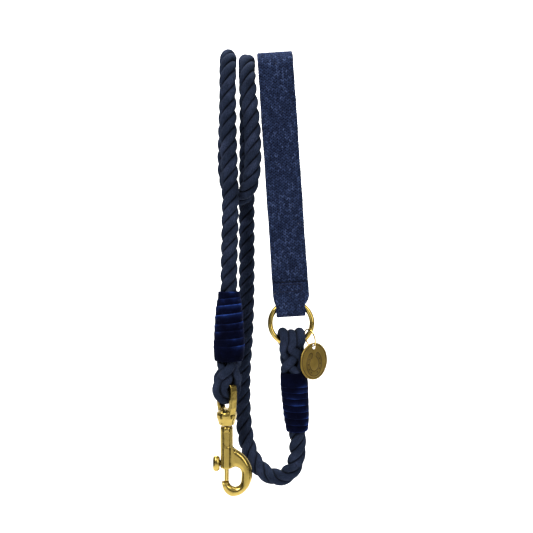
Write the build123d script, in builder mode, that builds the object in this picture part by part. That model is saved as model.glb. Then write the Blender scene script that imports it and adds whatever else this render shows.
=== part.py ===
from build123d import *
import math
import os

import numpy as np

os.makedirs("parts", exist_ok=True)

# Rope lead, gathered the way it hangs over an open hand: a three-strand rope in
# loops with a bolt snap spliced to one end and an O-ring to the other, a strap
# handle folded through the ring, and a round tag.
# Millimetres, +Z up, -Y towards the front, -X to the left.
# Origin: where the palm sits under the top bend of the handle loop.


# ---------------------------------------------------------------------------
# Shared sizes and places
# ---------------------------------------------------------------------------
UP = np.array([0.0, 0.0, 1.0])

# Plain rope: three strands laid right-handed
ROPE_DIA = 12.3
STRAND_R = 2.43
HELIX_R = ROPE_DIA / 2 - STRAND_R
LAY = 29.4

# Splices: six strands round a core line, slower lay
BUNDLE_R = 5.6
BUNDLE_LAY = 85.0

# Snap: middle of its rope bar, the way the tucked tails lie, and along the bar
SNAP_TURN = math.radians(40)
SNAP_BAR_C = np.array([-34.18, -15.0, -225.0])
SNAP_TAIL_DIR = np.array([-math.cos(SNAP_TURN), -math.sin(SNAP_TURN), 0.0])
SNAP_BAR_DIR = np.array([math.sin(SNAP_TURN), -math.cos(SNAP_TURN), 0.0])

# O-ring, standing in an X-Z plane, and the eye of the rope over its lowest point
RING_R = 14.8            # centreline radius
RING_WIRE_R = 1.9
RING_C = np.array([11.62, -15.0, -179.43])
RING_EYE_C = RING_C + (1.3 - RING_R) * UP
RING_TAIL_DIR = np.array([0.0, -1.0, 0.0])
RING_WIRE_DIR = np.array([1.0, 0.0, 0.0])

# Centreline of the rope from the snap splice to the ring splice: (x, y, z)
ROUTE = [
    (-32.48, -15, -208.0), (-32.48, -15, -198.6), (-32.48, -15, -187.95),
    (-32.48, -15, -177.3), (-32.48, -15, -166.65), (-32.48, -15, -156.0),
    (-32.44, -15, -145.35), (-32.30, -15, -134.7), (-32.03, -15, -120.5),
    (-31.72, -15, -106.3), (-31.55, -15, -92.1), (-31.80, -15, -77.9),
    (-32.26, -15, -63.7), (-32.72, -15, -49.5), (-33.04, -15, -35.3),
    (-33.30, -15, -21.1), (-33.38, -15, -12.0), (-33.40, -14.2, -4.2),
    (-33.48, -10.6, 4.2), (-33.62, -5.2, 10.6), (-33.84, 1.0, 13.4),
    (-34.20, 7.2, 12.2), (-34.65, 12.6, 6.9), (-35.06, 16.2, -0.6),
    (-35.50, 18, -9.6), (-35.97, 18.5, -21.4), (-36.42, 18.5, -35.9),
    (-36.81, 18.2, -49.5), (-36.90, 17.6, -61.05), (-36.10, 15.9, -71.07),
    (-33.94, 12.5, -79.6), (-30.48, 7.5, -85.7), (-26.31, 1.6, -88.5),
    (-22.0, -4.3, -87.1), (-18.55, -9.5, -82.3), (-16.54, -12.9, -75.3),
    (-15.60, -14.6, -66.49), (-15.35, -15, -56.6), (-15.65, -15, -45.95),
    (-16.48, -15, -35.3), (-17.67, -15, -24.65), (-18.75, -14.8, -14.5),
    (-19.43, -13.2, -5.6), (-19.83, -9.6, 2.4), (-20.13, -4.2, 8.2),
    (-20.37, 1.9, 10.3), (-20.54, 8.0, 8.6), (-20.63, 13.4, 3.7),
    (-20.60, 17.4, -4.2), (-20.50, 19.3, -14.5), (-20.44, 20, -28.02),
    (-20.51, 20, -47.01), (-20.66, 19.8, -66.03), (-20.80, 19.3, -88.86),
    (-20.77, 18.5, -111.66), (-20.72, 17.5, -134.4), (-20.85, 16.5, -157.05),
    (-21.35, 15.5, -178.11), (-22.25, 14.5, -196.83), (-23.22, 13.5, -211.73),
    (-23.75, 12.9, -224.41), (-23.80, 12, -236.22), (-23.35, 10.9, -247.99),
    (-22.31, 9.4, -258.85), (-20.54, 7.5, -268.78), (-18.05, 5.5, -276.42),
    (-14.39, 3.3, -282.9), (-9.66, 1.1, -288.0), (-3.95, -1, -291.35),
    (2.29, -3.1, -292.4), (8.20, -5.4, -290.3), (12.70, -7.6, -285.2),
    (15.40, -9.5, -277.82), (16.35, -11.1, -269.16), (16.30, -12.4, -260.5),
    (15.95, -13.25, -252.0), (15.35, -13.8, -243.0), (14.75, -14.2, -234.0),
    (14.10, -14.6, -225.0), (13.45, -15.0, -216.0), (12.75, -15.3, -206.5),
]


def save(part, name):
    part.label = name
    export_step(part, f"parts/{name}.step")


# ---------------------------------------------------------------------------
# Rope centreline and the frame carried along it
# ---------------------------------------------------------------------------
def unit(vector):
    return vector / np.linalg.norm(vector)


def ease(x):
    """Smooth step from 0 to 1, held flat outside that range."""
    x = min(max(x, 0.0), 1.0)
    return x * x * (3 - 2 * x)


def arc_lengths(points):
    steps = np.linalg.norm(np.diff(points, axis=0), axis=1)
    return np.concatenate([[0], np.cumsum(steps)])


def natural_cubic(points, step=0.4):
    """Natural cubic through the points, by chord length, sampled every step."""
    points = np.array(points, float)
    knots = arc_lengths(points)
    count = len(points)
    spans = np.diff(knots)
    matrix = np.zeros((count, count))
    right = np.zeros((count, 3))
    matrix[0, 0] = matrix[-1, -1] = 1
    for i in range(1, count - 1):
        before, after = spans[i - 1], spans[i]
        matrix[i, i - 1:i + 2] = before, 2 * (before + after), after
        right[i] = 6 * ((points[i + 1] - points[i]) / after
                        - (points[i] - points[i - 1]) / before)
    bend = np.linalg.solve(matrix, right)      # second derivatives at the knots

    along = np.linspace(0, knots[-1], int(knots[-1] / step) + 1)
    i = np.clip(np.searchsorted(knots, along, side="right") - 1, 0, count - 2)
    done = (along - knots[i])[:, None]
    span = spans[i][:, None]
    left = span - done
    return ((bend[i] * left**3 + bend[i + 1] * done**3) / (6 * span)
            + (points[i] / span - bend[i] * span / 6) * left
            + (points[i + 1] / span - bend[i + 1] * span / 6) * done)


def carry_normals(line, tangents, start):
    """Rotation-minimising normals along the line, by double reflection."""
    normals = np.zeros_like(line)
    normals[0] = unit(start - tangents[0] * (start @ tangents[0]))
    for i in range(len(line) - 1):
        chord = line[i + 1] - line[i]
        scale = 2 / (chord @ chord)
        normal = normals[i] - scale * (chord @ normals[i]) * chord
        tangent = tangents[i] - scale * (chord @ tangents[i]) * chord
        swing = tangents[i + 1] - tangent
        size = swing @ swing
        if size > 1e-18:
            normal = normal - 2 / size * (swing @ normal) * swing
        normals[i + 1] = unit(normal)
    return normals


LINE = natural_cubic(ROUTE)
TANGENTS = np.gradient(LINE, axis=0)
TANGENTS /= np.linalg.norm(TANGENTS, axis=1)[:, None]
NORMALS = carry_normals(LINE, TANGENTS, SNAP_TAIL_DIR)
ARC = arc_lengths(LINE)
LENGTH = float(ARC[-1])


def at_arc(s, values):
    return np.array([np.interp(s, ARC, values[:, k]) for k in range(3)])


def frame_at(s):
    """Centre, normal and binormal of the rope at arc length s."""
    tangent = unit(at_arc(s, TANGENTS))
    normal = at_arc(s, NORMALS)
    normal = unit(normal - tangent * (normal @ tangent))
    return at_arc(s, LINE), normal, np.cross(tangent, normal)


def arc_where(value, axis, low, high):
    """Arc length from low to high where coordinate number axis is nearest the value."""
    s = np.linspace(low, high, 4001)
    coordinate = np.interp(s, ARC, LINE[:, axis])
    return float(s[np.argmin(np.abs(coordinate - value))])


# ---------------------------------------------------------------------------
# Strand pattern.  Arc lengths are measured from the snap end.
# ---------------------------------------------------------------------------
SNAP_SPLICE_END = 36.0             # six strands up to here
SNAP_PLAIN = 53.0                  # plain rope from here
RING_PLAIN = LENGTH - 52.0         # plain rope up to here
RING_SPLICE_END = LENGTH - 33.0    # six strands from here
SNAP_TAIL_END = 38.0
RING_TAIL_END = LENGTH - 35.0
SNAP_EYE_ARC = 4.0                 # the strands leave the pattern for the eyes here
RING_EYE_ARC = LENGTH - 3.0
STILL_END = 10.0                   # the lay fades out over this length at each end
TAKE_UP_START = LENGTH - 130.0
TAKE_UP_END = LENGTH - 6
THIRD_TURN = 2 * math.pi / 3


def spread(s):
    """Fraction from splice pattern (0) to plain three-strand rope (1)."""
    if s < LENGTH / 2:
        return ease((s - SNAP_SPLICE_END) / (SNAP_PLAIN - SNAP_SPLICE_END))
    return ease((RING_SPLICE_END - s) / (RING_SPLICE_END - RING_PLAIN))


def lay_rate(s):
    """Turn per millimetre of the strand pattern about the centreline."""
    fast, slow = 2 * math.pi / LAY, 2 * math.pi / BUNDLE_LAY
    from_end = min(s, LENGTH - s)
    if from_end < STILL_END:
        return slow * ease(from_end / STILL_END)
    return slow + (fast - slow) * spread(s)


def half_turn_wrap(angle):
    """The same angle between -pi and pi."""
    angle %= 2 * math.pi
    return angle - 2 * math.pi if angle > math.pi else angle


TURN_ARC = np.linspace(0, LENGTH, 6001)
RATES = np.array([lay_rate(s) for s in TURN_ARC])
FREE_TURN = np.concatenate([[0], np.cumsum((RATES[1:] + RATES[:-1]) / 2 * np.diff(TURN_ARC))])

# At the ring end the pattern has to land square to the ring.  The strand that
# misses least becomes the middle one, and its miss is taken up over the last
# stretch of rope and the splice.
_, END_NORMAL, _ = frame_at(LENGTH)
END_ANGLE = math.atan2(END_NORMAL @ RING_WIRE_DIR, END_NORMAL @ RING_TAIL_DIR)
MISSES = {j: half_turn_wrap(FREE_TURN[-1] + j * THIRD_TURN + END_ANGLE) for j in (-1, 0, 1)}
RING_MIDDLE = min(MISSES, key=lambda j: abs(MISSES[j]))
TAKE_UP = np.array([ease((s - TAKE_UP_START) / (TAKE_UP_END - TAKE_UP_START))
                    for s in TURN_ARC])
TURNS = FREE_TURN - MISSES[RING_MIDDLE] * TAKE_UP


def ring_place(j):
    """Place of strand j at the ring: -1, 0 (middle) or 1."""
    return (j - RING_MIDDLE + 1) % 3 - 1


def place_and_base(j, s):
    """Place of strand j beside the middle strand, and the middle strand's angle."""
    if s < LENGTH / 2:
        return j, 0.0
    return ring_place(j), RING_MIDDLE * THIRD_TURN


def bundle_radius(s):
    return BUNDLE_R + (HELIX_R - BUNDLE_R) * spread(s)


def around(s, radius, angle):
    """Point beside the centreline, the angle turning with the lay."""
    centre, normal, binormal = frame_at(s)
    angle += float(np.interp(s, TURN_ARC, TURNS))
    return centre + radius * (math.cos(angle) * normal + math.sin(angle) * binormal)


def standing(j, s):
    """Centre of strand j (-1, 0, 1) at arc length s."""
    place, base = place_and_base(j, s)
    return around(s, bundle_radius(s), math.pi + base + place * math.radians(60 + 60 * spread(s)))


def tail(j, s):
    """Centre of the tucked tail of strand j in a splice."""
    place, base = place_and_base(j, s)
    return around(s, BUNDLE_R, base - place * math.radians(60))


def eye_arc(centre, radius, degrees, tail_dir):
    """Points round an eye, in the plane of the tail direction and up."""
    angles = [math.radians(d) for d in degrees]
    return [centre + radius * (math.cos(a) * tail_dir + math.sin(a) * UP) for a in angles]


def snap_eye(j):
    """Strand j from the standing side, under the bar and up to the tail side."""
    radius, step = (4.85, 14) if j else (9.45, 8)
    centre = SNAP_BAR_C - j * 2.75 * SNAP_BAR_DIR
    return eye_arc(centre, radius, range(186, 355, step), SNAP_TAIL_DIR)


def ring_eye(j):
    """Strand j from the standing side over the ring wire and down the tail side."""
    place = ring_place(j)
    lift = 1.2 if place else 0.0
    centre = RING_EYE_C - place * 5.9 * RING_WIRE_DIR + lift * UP
    return eye_arc(centre, 6.75, range(176, 3, -14), RING_TAIL_DIR)


# ---------------------------------------------------------------------------
# Rope strands.  The rope is cut at the top of its first bend, where it runs
# along +Y, and at its lowest point, where it runs along +X.
# ---------------------------------------------------------------------------
TOP_ARC = arc_where(1.0, 1, 200, 260)
BOTTOM_ARC = arc_where(2.29, 0, LENGTH - 130, LENGTH - 60)
TOP_CUT_Y = float(at_arc(TOP_ARC, LINE)[1])
BOTTOM_CUT_X = float(at_arc(BOTTOM_ARC, LINE)[0])
OVERRUN = 5.0            # strands are swept this far past a cut, then trimmed
HALF_GAP = 0.15          # left between each strand end and the cut
TRIM_SIZE, TRIM_DEPTH = 30, 15
STANDING_STEP = LAY / 12
TAIL_STEP = 3.4


def top_trim(side):
    """Trims what lies towards +Y (side 1) or -Y (side -1) of the top cut."""
    return Plane(origin=(-33.8, TOP_CUT_Y - side * HALF_GAP, 14),
                 x_dir=(1, 0, 0), z_dir=(0, side, 0))


def bottom_trim(side):
    """Trims what lies towards +X (side 1) or -X (side -1) of the bottom cut."""
    return Plane(origin=(BOTTOM_CUT_X - side * HALF_GAP, -3.1, -292.4),
                 x_dir=(0, side, 0), z_dir=(side, 0, 0))


def sample(curve, j, start, end, step):
    """Points of strand j on standing() or tail() between two arc lengths."""
    count = max(2, int(abs(end - start) / step) + 1)
    return [curve(j, s) for s in np.linspace(start, end, count)]


def strand_solid(points, marks):
    """Round strand through the points.  It is swept in stretches cut from one
    curve at the marks (point numbers, or fractions of the curve as floats), and
    the stretches are sewn end to end into a single skin."""
    full = Spline(*[tuple(p) for p in points])
    inner_cuts = [m if isinstance(m, float) else full.param_at_point(Vector(*points[m]))
                  for m in marks]
    cuts = [0.0] + inner_cuts + [1.0]
    last = len(cuts) - 2
    skin = []
    for i in range(last + 1):
        edge = full.trim(cuts[i], cuts[i + 1])
        with BuildPart() as stretch:
            with BuildLine() as path:
                add(edge)
            with BuildSketch(Plane(origin=path.line @ 0, z_dir=path.line % 0)):
                Circle(STRAND_R)
            sweep(is_frenet=False)
        # flat faces are kept only at the two ends of the whole strand
        for face in stretch.part.faces():
            if (face.geom_type != GeomType.PLANE
                    or (i == 0 and (face.center() - (edge @ 0)).length < 0.05)
                    or (i == last and (face.center() - (edge @ 1)).length < 0.05)):
                skin.append(face)
    return Solid(Shell(skin))


def build_strand(name, points, marks, trims):
    with BuildPart() as strand:
        add(strand_solid(points, marks))
        for plane in trims:
            with BuildSketch(plane):
                Rectangle(TRIM_SIZE, TRIM_SIZE)
            extrude(amount=TRIM_DEPTH, mode=Mode.SUBTRACT)
    save(strand.part, name)


def build_snap_leg_strand(j):
    leg = sample(standing, j, TOP_ARC + OVERRUN, SNAP_EYE_ARC, STANDING_STEP)
    eye = snap_eye(j)
    end = sample(tail, j, SNAP_EYE_ARC, SNAP_TAIL_END, TAIL_STEP)
    marks = [len(leg) // 2, len(leg) - 1, len(leg) + len(eye)]
    build_strand(f"snap_leg_strand_{j + 2}", leg + eye + end, marks, [top_trim(1)])


def build_coil_strand(j):
    points = sample(standing, j, TOP_ARC - OVERRUN, BOTTOM_ARC + OVERRUN, STANDING_STEP)
    trims = [top_trim(-1), bottom_trim(1)]
    build_strand(f"coil_strand_{j + 2}", points, [0.25, 0.5, 0.75], trims)


def build_ring_leg_strand(j):
    leg = sample(standing, j, BOTTOM_ARC - OVERRUN, RING_EYE_ARC, STANDING_STEP)
    eye = ring_eye(j)
    end = sample(tail, j, RING_EYE_ARC, RING_TAIL_END, TAIL_STEP)
    marks = [len(leg) - 1, len(leg) + len(eye)]
    build_strand(f"ring_leg_strand_{j + 2}", leg + eye + end, marks, [bottom_trim(-1)])


# ---------------------------------------------------------------------------
# Velvet ribbon wound over each splice
# ---------------------------------------------------------------------------
# Snap end: (z, outer radius) down the wrap, each lower turn laps over the upper
SNAP_WRAP = [
    (-156.9, 6.85), (-161.6, 7.55), (-161.7, 8.15), (-166.3, 8.55), (-166.4, 9.05),
    (-172.7, 9.25), (-172.8, 9.7), (-179.5, 9.85), (-179.6, 10.3), (-184.2, 10.35),
    (-184.3, 10.75), (-189.8, 10.65), (-189.9, 11.05), (-194.6, 10.9), (-194.7, 11.3),
    (-205.4, 11.2), (-206.0, 10.7),
]
SNAP_WRAP_INNER = [-206.0, -190.0, -172.0, -169.0, -166.0, -163.0, -160.0, -156.9]

# Ring end, between two places on the rope
RING_WRAP_ARC = arc_where(-255.9, 2, LENGTH - 70, LENGTH - 20)
RING_WRAP_LOW = at_arc(RING_WRAP_ARC, LINE)
RING_WRAP_HIGH = at_arc(arc_where(-213.6, 2, LENGTH - 30, LENGTH), LINE)
RING_WRAP_LEN = float(np.linalg.norm(RING_WRAP_HIGH - RING_WRAP_LOW))
# (distance from the low end, outer radius), each upper turn laps over the lower
RING_WRAP = [
    (0.0, 7.15), (3.6, 7.9), (3.7, 8.45), (8.4, 8.5), (8.5, 9.0), (13.3, 8.85),
    (13.4, 9.35), (18.2, 9.15), (18.3, 9.6), (23.2, 9.35), (23.3, 9.8), (28.1, 9.5),
    (28.2, 9.95), (32.0, 9.65), (32.1, 10.05),
    (RING_WRAP_LEN - 0.5, 9.85), (RING_WRAP_LEN, 9.4),
]
RING_WRAP_INNER = [RING_WRAP_LEN, 30.0, 18.0, 14.0, 10.0, 7.0, 4.0, 0.0]


def build_wrap(name, base, along, base_arc, outer, inner_heights, clearance):
    """Sleeve round the axis from base; base_arc is the rope's arc length at height 0."""
    side = unit(np.cross(along, [0.0, -1.0, 0.0]))
    plane = Plane(origin=tuple(base), x_dir=tuple(side), z_dir=tuple(unit(np.cross(side, along))))
    outside = [(radius, height) for height, radius in outer]
    inside = [(bundle_radius(base_arc + height) + STRAND_R + clearance, height)
              for height in inner_heights]
    with BuildPart() as wrap:
        with BuildSketch(plane):
            with BuildLine():
                Polyline(*outside, *inside, close=True)
            make_face()
        revolve(axis=Axis(tuple(base), tuple(along)))
    save(wrap.part, name)


def build_velvet_wraps():
    start_x, start_y, start_z = ROUTE[0]
    build_wrap("velvet_wrap_snap_end", (start_x, start_y, 0), UP, -start_z,
               SNAP_WRAP, SNAP_WRAP_INNER, clearance=0.32)
    build_wrap("velvet_wrap_ring_end", RING_WRAP_LOW, unit(RING_WRAP_HIGH - RING_WRAP_LOW),
               RING_WRAP_ARC, RING_WRAP, RING_WRAP_INNER, clearance=0.3)


# ---------------------------------------------------------------------------
# Bolt snap: swivel eye, body, sliding bolt, thumb knob, spring.
# Profiles are (distance from the snap's upright axis, z).
# ---------------------------------------------------------------------------
SNAP_X, SNAP_Y = float(SNAP_BAR_C[0]), float(SNAP_BAR_C[1])
SNAP_AXIS = Axis((SNAP_X, SNAP_Y, 0), (0, 0, 1))

BAR_R, BAR_HALF = 2.0, 7.2
FORK_HALF_T = 2.5
COLLAR_TOP, COLLAR_BOTTOM = -240.6, -251.5
STEM_R = 1.6
STEM_HEAD_TOP = -256.2
# One side of the fork that holds the bar, up the outside and down the inside
FORK_SIDE = [
    (6.6, -246.0), (8.3, -239.0), (8.9, -233.0), (8.9, -226.4), (8.3, -223.8),
    (7.4, -222.4), (6.5, -222.2), (5.75, -223.4), (5.75, -237.0), (4.2, -239.8),
]
COLLAR_AND_STEM = [
    (0, COLLAR_TOP), (5.0, -241.0), (6.9, -242.4), (7.4, -244.2), (7.1, -246.6),
    (6.2, -249.0), (5.8, -251.0), (5.3, COLLAR_BOTTOM), (STEM_R, COLLAR_BOTTOM),
    (STEM_R, STEM_HEAD_TOP), (2.1, STEM_HEAD_TOP), (2.1, -257.7), (1.7, -258.2), (0, -258.2),
]

BARREL_R = 4.6
BARREL_TOP, BARREL_BOTTOM = -252.4, -282.2
BARREL = [
    (0, BARREL_TOP), (3.6, BARREL_TOP), (4.4, -252.9), (BARREL_R, -253.8),
    (BARREL_R, -281.2), (4.2, BARREL_BOTTOM), (0, BARREL_BOTTOM),
]
BORE_R = 2.28
BORE_TOP, BORE_BOTTOM = -255.9, BARREL_BOTTOM - 0.5
NECK_R = STEM_R + 0.06
SLOT_W, SLOT_H, SLOT_Z = 2.6, 13.3, -274.1
RECESS_W, RECESS_H = 4.2, 11.5

# Outside of the hook, from the barrel round to the tip
HOOK_OUTSIDE = [
    (4.4, -267.3), (10.2, -271.1), (14.6, -275.6), (17.2, -280.6), (18.3, -285.7),
    (17.8, -290.8), (15.6, -295.9), (11.5, -300.3), (6.4, -302.4), (2.6, -302.2),
    (-1.0, -299.6), (-3.0, -296.0), (-3.5, -291.9),
]
HOOK_T = 6.4
HOOK_ROUND = 1.1
SEAT_R = 4.2
SEAT_X, SEAT_Z = 6.04, -291.2
HOOK_TIP_Z = -291.4
# Inside of the hook, from the seat up to the barrel
HOOK_INSIDE = [
    (SEAT_X + SEAT_R, SEAT_Z), (10.4, -287.0), (9.6, -283.4), (7.4, -281.9), (4.0, -281.7),
]

BOLT_R = 2.2             # head of the bolt, inside the barrel
PIN_R = 1.75             # the bolt below its head
BOLT_TOP = -270.0
BOLT = [
    (0, HOOK_TIP_Z + 0.1), (1.4, HOOK_TIP_Z + 0.1), (PIN_R, HOOK_TIP_Z + 0.5),
    (PIN_R, -281.8), (BOLT_R, -281.4), (BOLT_R, BOLT_TOP - 0.3), (1.9, BOLT_TOP), (0, BOLT_TOP),
]

SHANK_W, SHANK_H, SHANK_LEN, SHANK_Z = 2.4, 4.0, 4.4, -278.6
KNOB_Z = -279.1
# (distance left of the axis, half width, half height)
KNOB_SECTIONS = [(4.75, 2.6, 4.2), (7.0, 3.5, 5.7), (9.6, 2.5, 4.5)]

SPRING_R, SPRING_WIRE_R = 1.6, 0.28
SPRING_PITCH, SPRING_H = 2.2, 10.9


def upright_plane(forward=0.0):
    """X-Z plane facing the front, set forward of the snap's axis."""
    return Plane(origin=(SNAP_X, SNAP_Y - forward, 0), x_dir=(1, 0, 0), z_dir=(0, -1, 0))


def left_plane(out, z):
    """Plane facing left, its origin out to the left of the snap's axis."""
    return Plane(origin=(SNAP_X - out, SNAP_Y, z), x_dir=(0, 1, 0), z_dir=(-1, 0, 0))


def build_swivel_eye():
    fork_plane = Plane(origin=(SNAP_X, SNAP_Y, 0),
                       x_dir=tuple(SNAP_BAR_DIR), z_dir=tuple(SNAP_TAIL_DIR))
    bar_end = SNAP_BAR_C - BAR_HALF * SNAP_BAR_DIR
    with BuildPart() as swivel_eye:
        with BuildSketch(fork_plane):
            with BuildLine():
                Polyline(*[(-x, z) for x, z in FORK_SIDE], (0, COLLAR_TOP),
                         *reversed(FORK_SIDE), close=True)
            make_face()
        extrude(amount=FORK_HALF_T, both=True)
        with BuildSketch(Plane(origin=tuple(bar_end), z_dir=tuple(SNAP_BAR_DIR))):
            Circle(BAR_R)
        extrude(amount=2 * BAR_HALF)
        with BuildSketch(upright_plane()):
            with BuildLine():
                Polyline(*COLLAR_AND_STEM, close=True)
            make_face()
        revolve(axis=SNAP_AXIS)
    save(swivel_eye.part, "swivel_eye")


def build_snap_body():
    with BuildPart() as snap_body:
        with BuildSketch(upright_plane(HOOK_T / 2)):
            with BuildLine():
                Spline(*HOOK_OUTSIDE)
                Polyline(HOOK_OUTSIDE[-1], (-3.1, HOOK_TIP_Z), (SEAT_X - SEAT_R, HOOK_TIP_Z),
                         (SEAT_X - SEAT_R, SEAT_Z))
                ThreePointArc((SEAT_X - SEAT_R, SEAT_Z), (SEAT_X, SEAT_Z - SEAT_R),
                              (SEAT_X + SEAT_R, SEAT_Z))
                Spline(*HOOK_INSIDE)
                Polyline(HOOK_INSIDE[-1], (2.6, -281.7), (2.6, -267.3), HOOK_OUTSIDE[0])
            make_face()
        extrude(amount=-HOOK_T)
        # round the long curved rims on the front and back faces
        rim = [e for e in snap_body.edges()
               if abs(abs(e.center().Y - SNAP_Y) - HOOK_T / 2) < 1e-4
               and (e.geom_type == GeomType.BSPLINE
                    or (e.length > 6.0 and e.center().X > SNAP_X + 3.0))]
        fillet(rim, HOOK_ROUND)
        with BuildSketch(upright_plane()):
            with BuildLine():
                Polyline(*BARREL, close=True)
            make_face()
        revolve(axis=SNAP_AXIS)
        # bore for bolt and spring
        with BuildSketch(Plane.XY.offset(BORE_BOTTOM)):
            with Locations((SNAP_X, SNAP_Y)):
                Circle(BORE_R)
        extrude(amount=BORE_TOP - BORE_BOTTOM, mode=Mode.SUBTRACT)
        # neck hole for the swivel stem
        with BuildSketch(Plane.XY.offset(-256.5)):
            with Locations((SNAP_X, SNAP_Y)):
                Circle(NECK_R)
        extrude(amount=5.0, mode=Mode.SUBTRACT)
        # slot for the thumb knob shank on the left
        with BuildSketch(left_plane(0, SLOT_Z)):
            Rectangle(SLOT_W, SLOT_H)
        extrude(amount=6.0, mode=Mode.SUBTRACT)
        # cast recess in the front of the barrel
        with BuildSketch(upright_plane(6.0)):
            with Locations((0.4, -261.3)):
                SlotOverall(RECESS_H, RECESS_W, rotation=90)
        extrude(amount=-2.6, mode=Mode.SUBTRACT)
    save(snap_body.part, "snap_body")


def build_bolt_pin():
    with BuildPart() as bolt_pin:
        with BuildSketch(upright_plane()):
            with BuildLine():
                Polyline(*BOLT, close=True)
            make_face()
        revolve(axis=SNAP_AXIS)
    save(bolt_pin.part, "bolt_pin")


def build_thumb_knob():
    with BuildPart() as thumb_knob:
        with BuildSketch(left_plane(1.0, SHANK_Z)):
            SlotOverall(SHANK_H, SHANK_W, rotation=90)
        extrude(amount=SHANK_LEN)
        for out, half_width, half_height in KNOB_SECTIONS:
            with BuildSketch(left_plane(out, KNOB_Z)):
                Ellipse(half_width, half_height)
        loft()
    save(thumb_knob.part, "thumb_knob")


def build_bolt_spring():
    with BuildPart() as bolt_spring:
        with BuildLine(Plane(origin=(SNAP_X, SNAP_Y, BOLT_TOP + 0.35))) as coil_line:
            Helix(pitch=SPRING_PITCH, height=SPRING_H, radius=SPRING_R)
        with BuildSketch(Plane(origin=coil_line.line @ 0, z_dir=coil_line.line % 0)):
            Circle(SPRING_WIRE_R)
        sweep(is_frenet=True)
    save(bolt_spring.part, "bolt_spring")


# ---------------------------------------------------------------------------
# O-ring, jump ring and round tag
# ---------------------------------------------------------------------------
JUMP_R = 6.4             # centreline radius
JUMP_WIRE_R = 0.5
HANG_ANGLE = math.radians(56)      # round the O-ring from its lowest point, towards +X
HANG = RING_C + RING_R * np.array([math.sin(HANG_ANGLE), 0, -math.cos(HANG_ANGLE)])
JUMP_DOWN = unit(np.array([0.42, -0.30, -0.86]))
JUMP_FACING = np.array([0.84, 0.48, 0.254])
JUMP_NORMAL = unit(JUMP_FACING - JUMP_DOWN * (JUMP_FACING @ JUMP_DOWN))
JUMP_C = HANG + 2.5 * JUMP_DOWN

TAG_R = 13.1
TAG_T = 1.2
TAG_ROUND = 0.35
TAG_HOLE_R = 1.95
TAG_HOLE_UP = TAG_R - 2.8          # hole above the tag's centre
TAG_TURN = math.radians(41)
TAG_NORMAL = np.array([math.sin(TAG_TURN), -math.cos(TAG_TURN), 0.0])
TAG_ACROSS = (math.cos(TAG_TURN), math.sin(TAG_TURN), 0.0)
TAG_C = JUMP_C + JUMP_R * JUMP_DOWN - (0.5 + TAG_HOLE_UP) * UP


def build_o_ring():
    ring_x, ring_y, ring_z = (float(v) for v in RING_C)
    with BuildPart() as o_ring:
        with BuildSketch(Plane.XY.offset(ring_z)):
            with Locations((ring_x + RING_R, ring_y)):
                Circle(RING_WIRE_R)
        revolve(axis=Axis(tuple(RING_C), (0, 1, 0)))
    save(o_ring.part, "o_ring")


def build_jump_ring():
    with BuildPart() as jump_ring:
        with BuildSketch(Plane(origin=tuple(JUMP_C), x_dir=tuple(JUMP_DOWN),
                               z_dir=tuple(np.cross(JUMP_DOWN, JUMP_NORMAL)))):
            with Locations((JUMP_R, 0)):
                Circle(JUMP_WIRE_R)
        revolve(axis=Axis(tuple(JUMP_C), tuple(JUMP_NORMAL)))
    save(jump_ring.part, "jump_ring")


def build_round_tag():
    with BuildPart() as round_tag:
        with BuildSketch(Plane(origin=tuple(TAG_C - TAG_NORMAL * TAG_T / 2),
                               x_dir=TAG_ACROSS, z_dir=tuple(TAG_NORMAL))):
            Circle(TAG_R)
            with Locations((0, TAG_HOLE_UP)):
                Circle(TAG_HOLE_R, mode=Mode.SUBTRACT)
        extrude(amount=TAG_T)
        # only the outer edges are longer than this
        fillet([e for e in round_tag.edges() if e.length > 40], TAG_ROUND)
    save(round_tag.part, "round_tag")


# ---------------------------------------------------------------------------
# Handle: one strap of webbing faced with knit, bent over the hand, folded
# through the O-ring and stitched back on itself
# ---------------------------------------------------------------------------
STRAP_W = 26.0
STRAP_SHIFT = 1.0        # middle of the strap, across its width, from the palm's middle
STRAP_T = 2.5
KNIT_T = 1.3
EDGE_W = 1.2             # knit turned in along each edge
STRAP_LEAN = math.radians(3.78)    # bottom swings to +X
STRAP_ACROSS = (math.cos(STRAP_LEAN), 0, math.sin(STRAP_LEAN))

BEND_R = 15.0            # mid-line of the strap over the hand
BEND_Z = 0.7
FRONT_Y, BACK_Y = -BEND_R, BEND_R
FRONT_END = -160.4
PLY_STEP = 2.6           # between the mid-lines of the sewn layers
TAB_Y, UNDER_Y = FRONT_Y - PLY_STEP, FRONT_Y + PLY_STEP
SEW_TOP, SEW_BOTTOM = -150.3, -158.6
FOLD_Z = -169.3          # centre of the fold round the ring
FOLD_R = 5.0             # mid-line of the strap round the fold
FOLD_INNER_Y, FOLD_OUTER_Y = FRONT_Y + FOLD_R, FRONT_Y - FOLD_R
FOLD_OPEN_Z = -165.2     # the legs of the fold are fully apart here
FOLD_STRAIGHT_Z = -166.5

FOLD_HALF = 10.6         # half width of the narrowed strap in the fold
TAPER_TOP, TAPER_BOTTOM = -160.5, -167.3
CORE_HALF = FOLD_HALF - EDGE_W

THREAD_R = 0.28
STITCH = 2.6
STITCHES = 6             # along each row
BOX_W, BOX_H = STITCHES * STITCH, 5.2
BOX_Z = -154.8
LINE_W, LINE_T = 0.6, 0.5          # thread lying on the faces


def eased(start, end, count, key):
    """Points (y, z) after start up to end, y following the key function."""
    fractions = [i / count for i in range(1, count + 1)]
    return [(start[0] + (end[0] - start[0]) * key(f), start[1] + (end[1] - start[1]) * f)
            for f in fractions]


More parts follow.
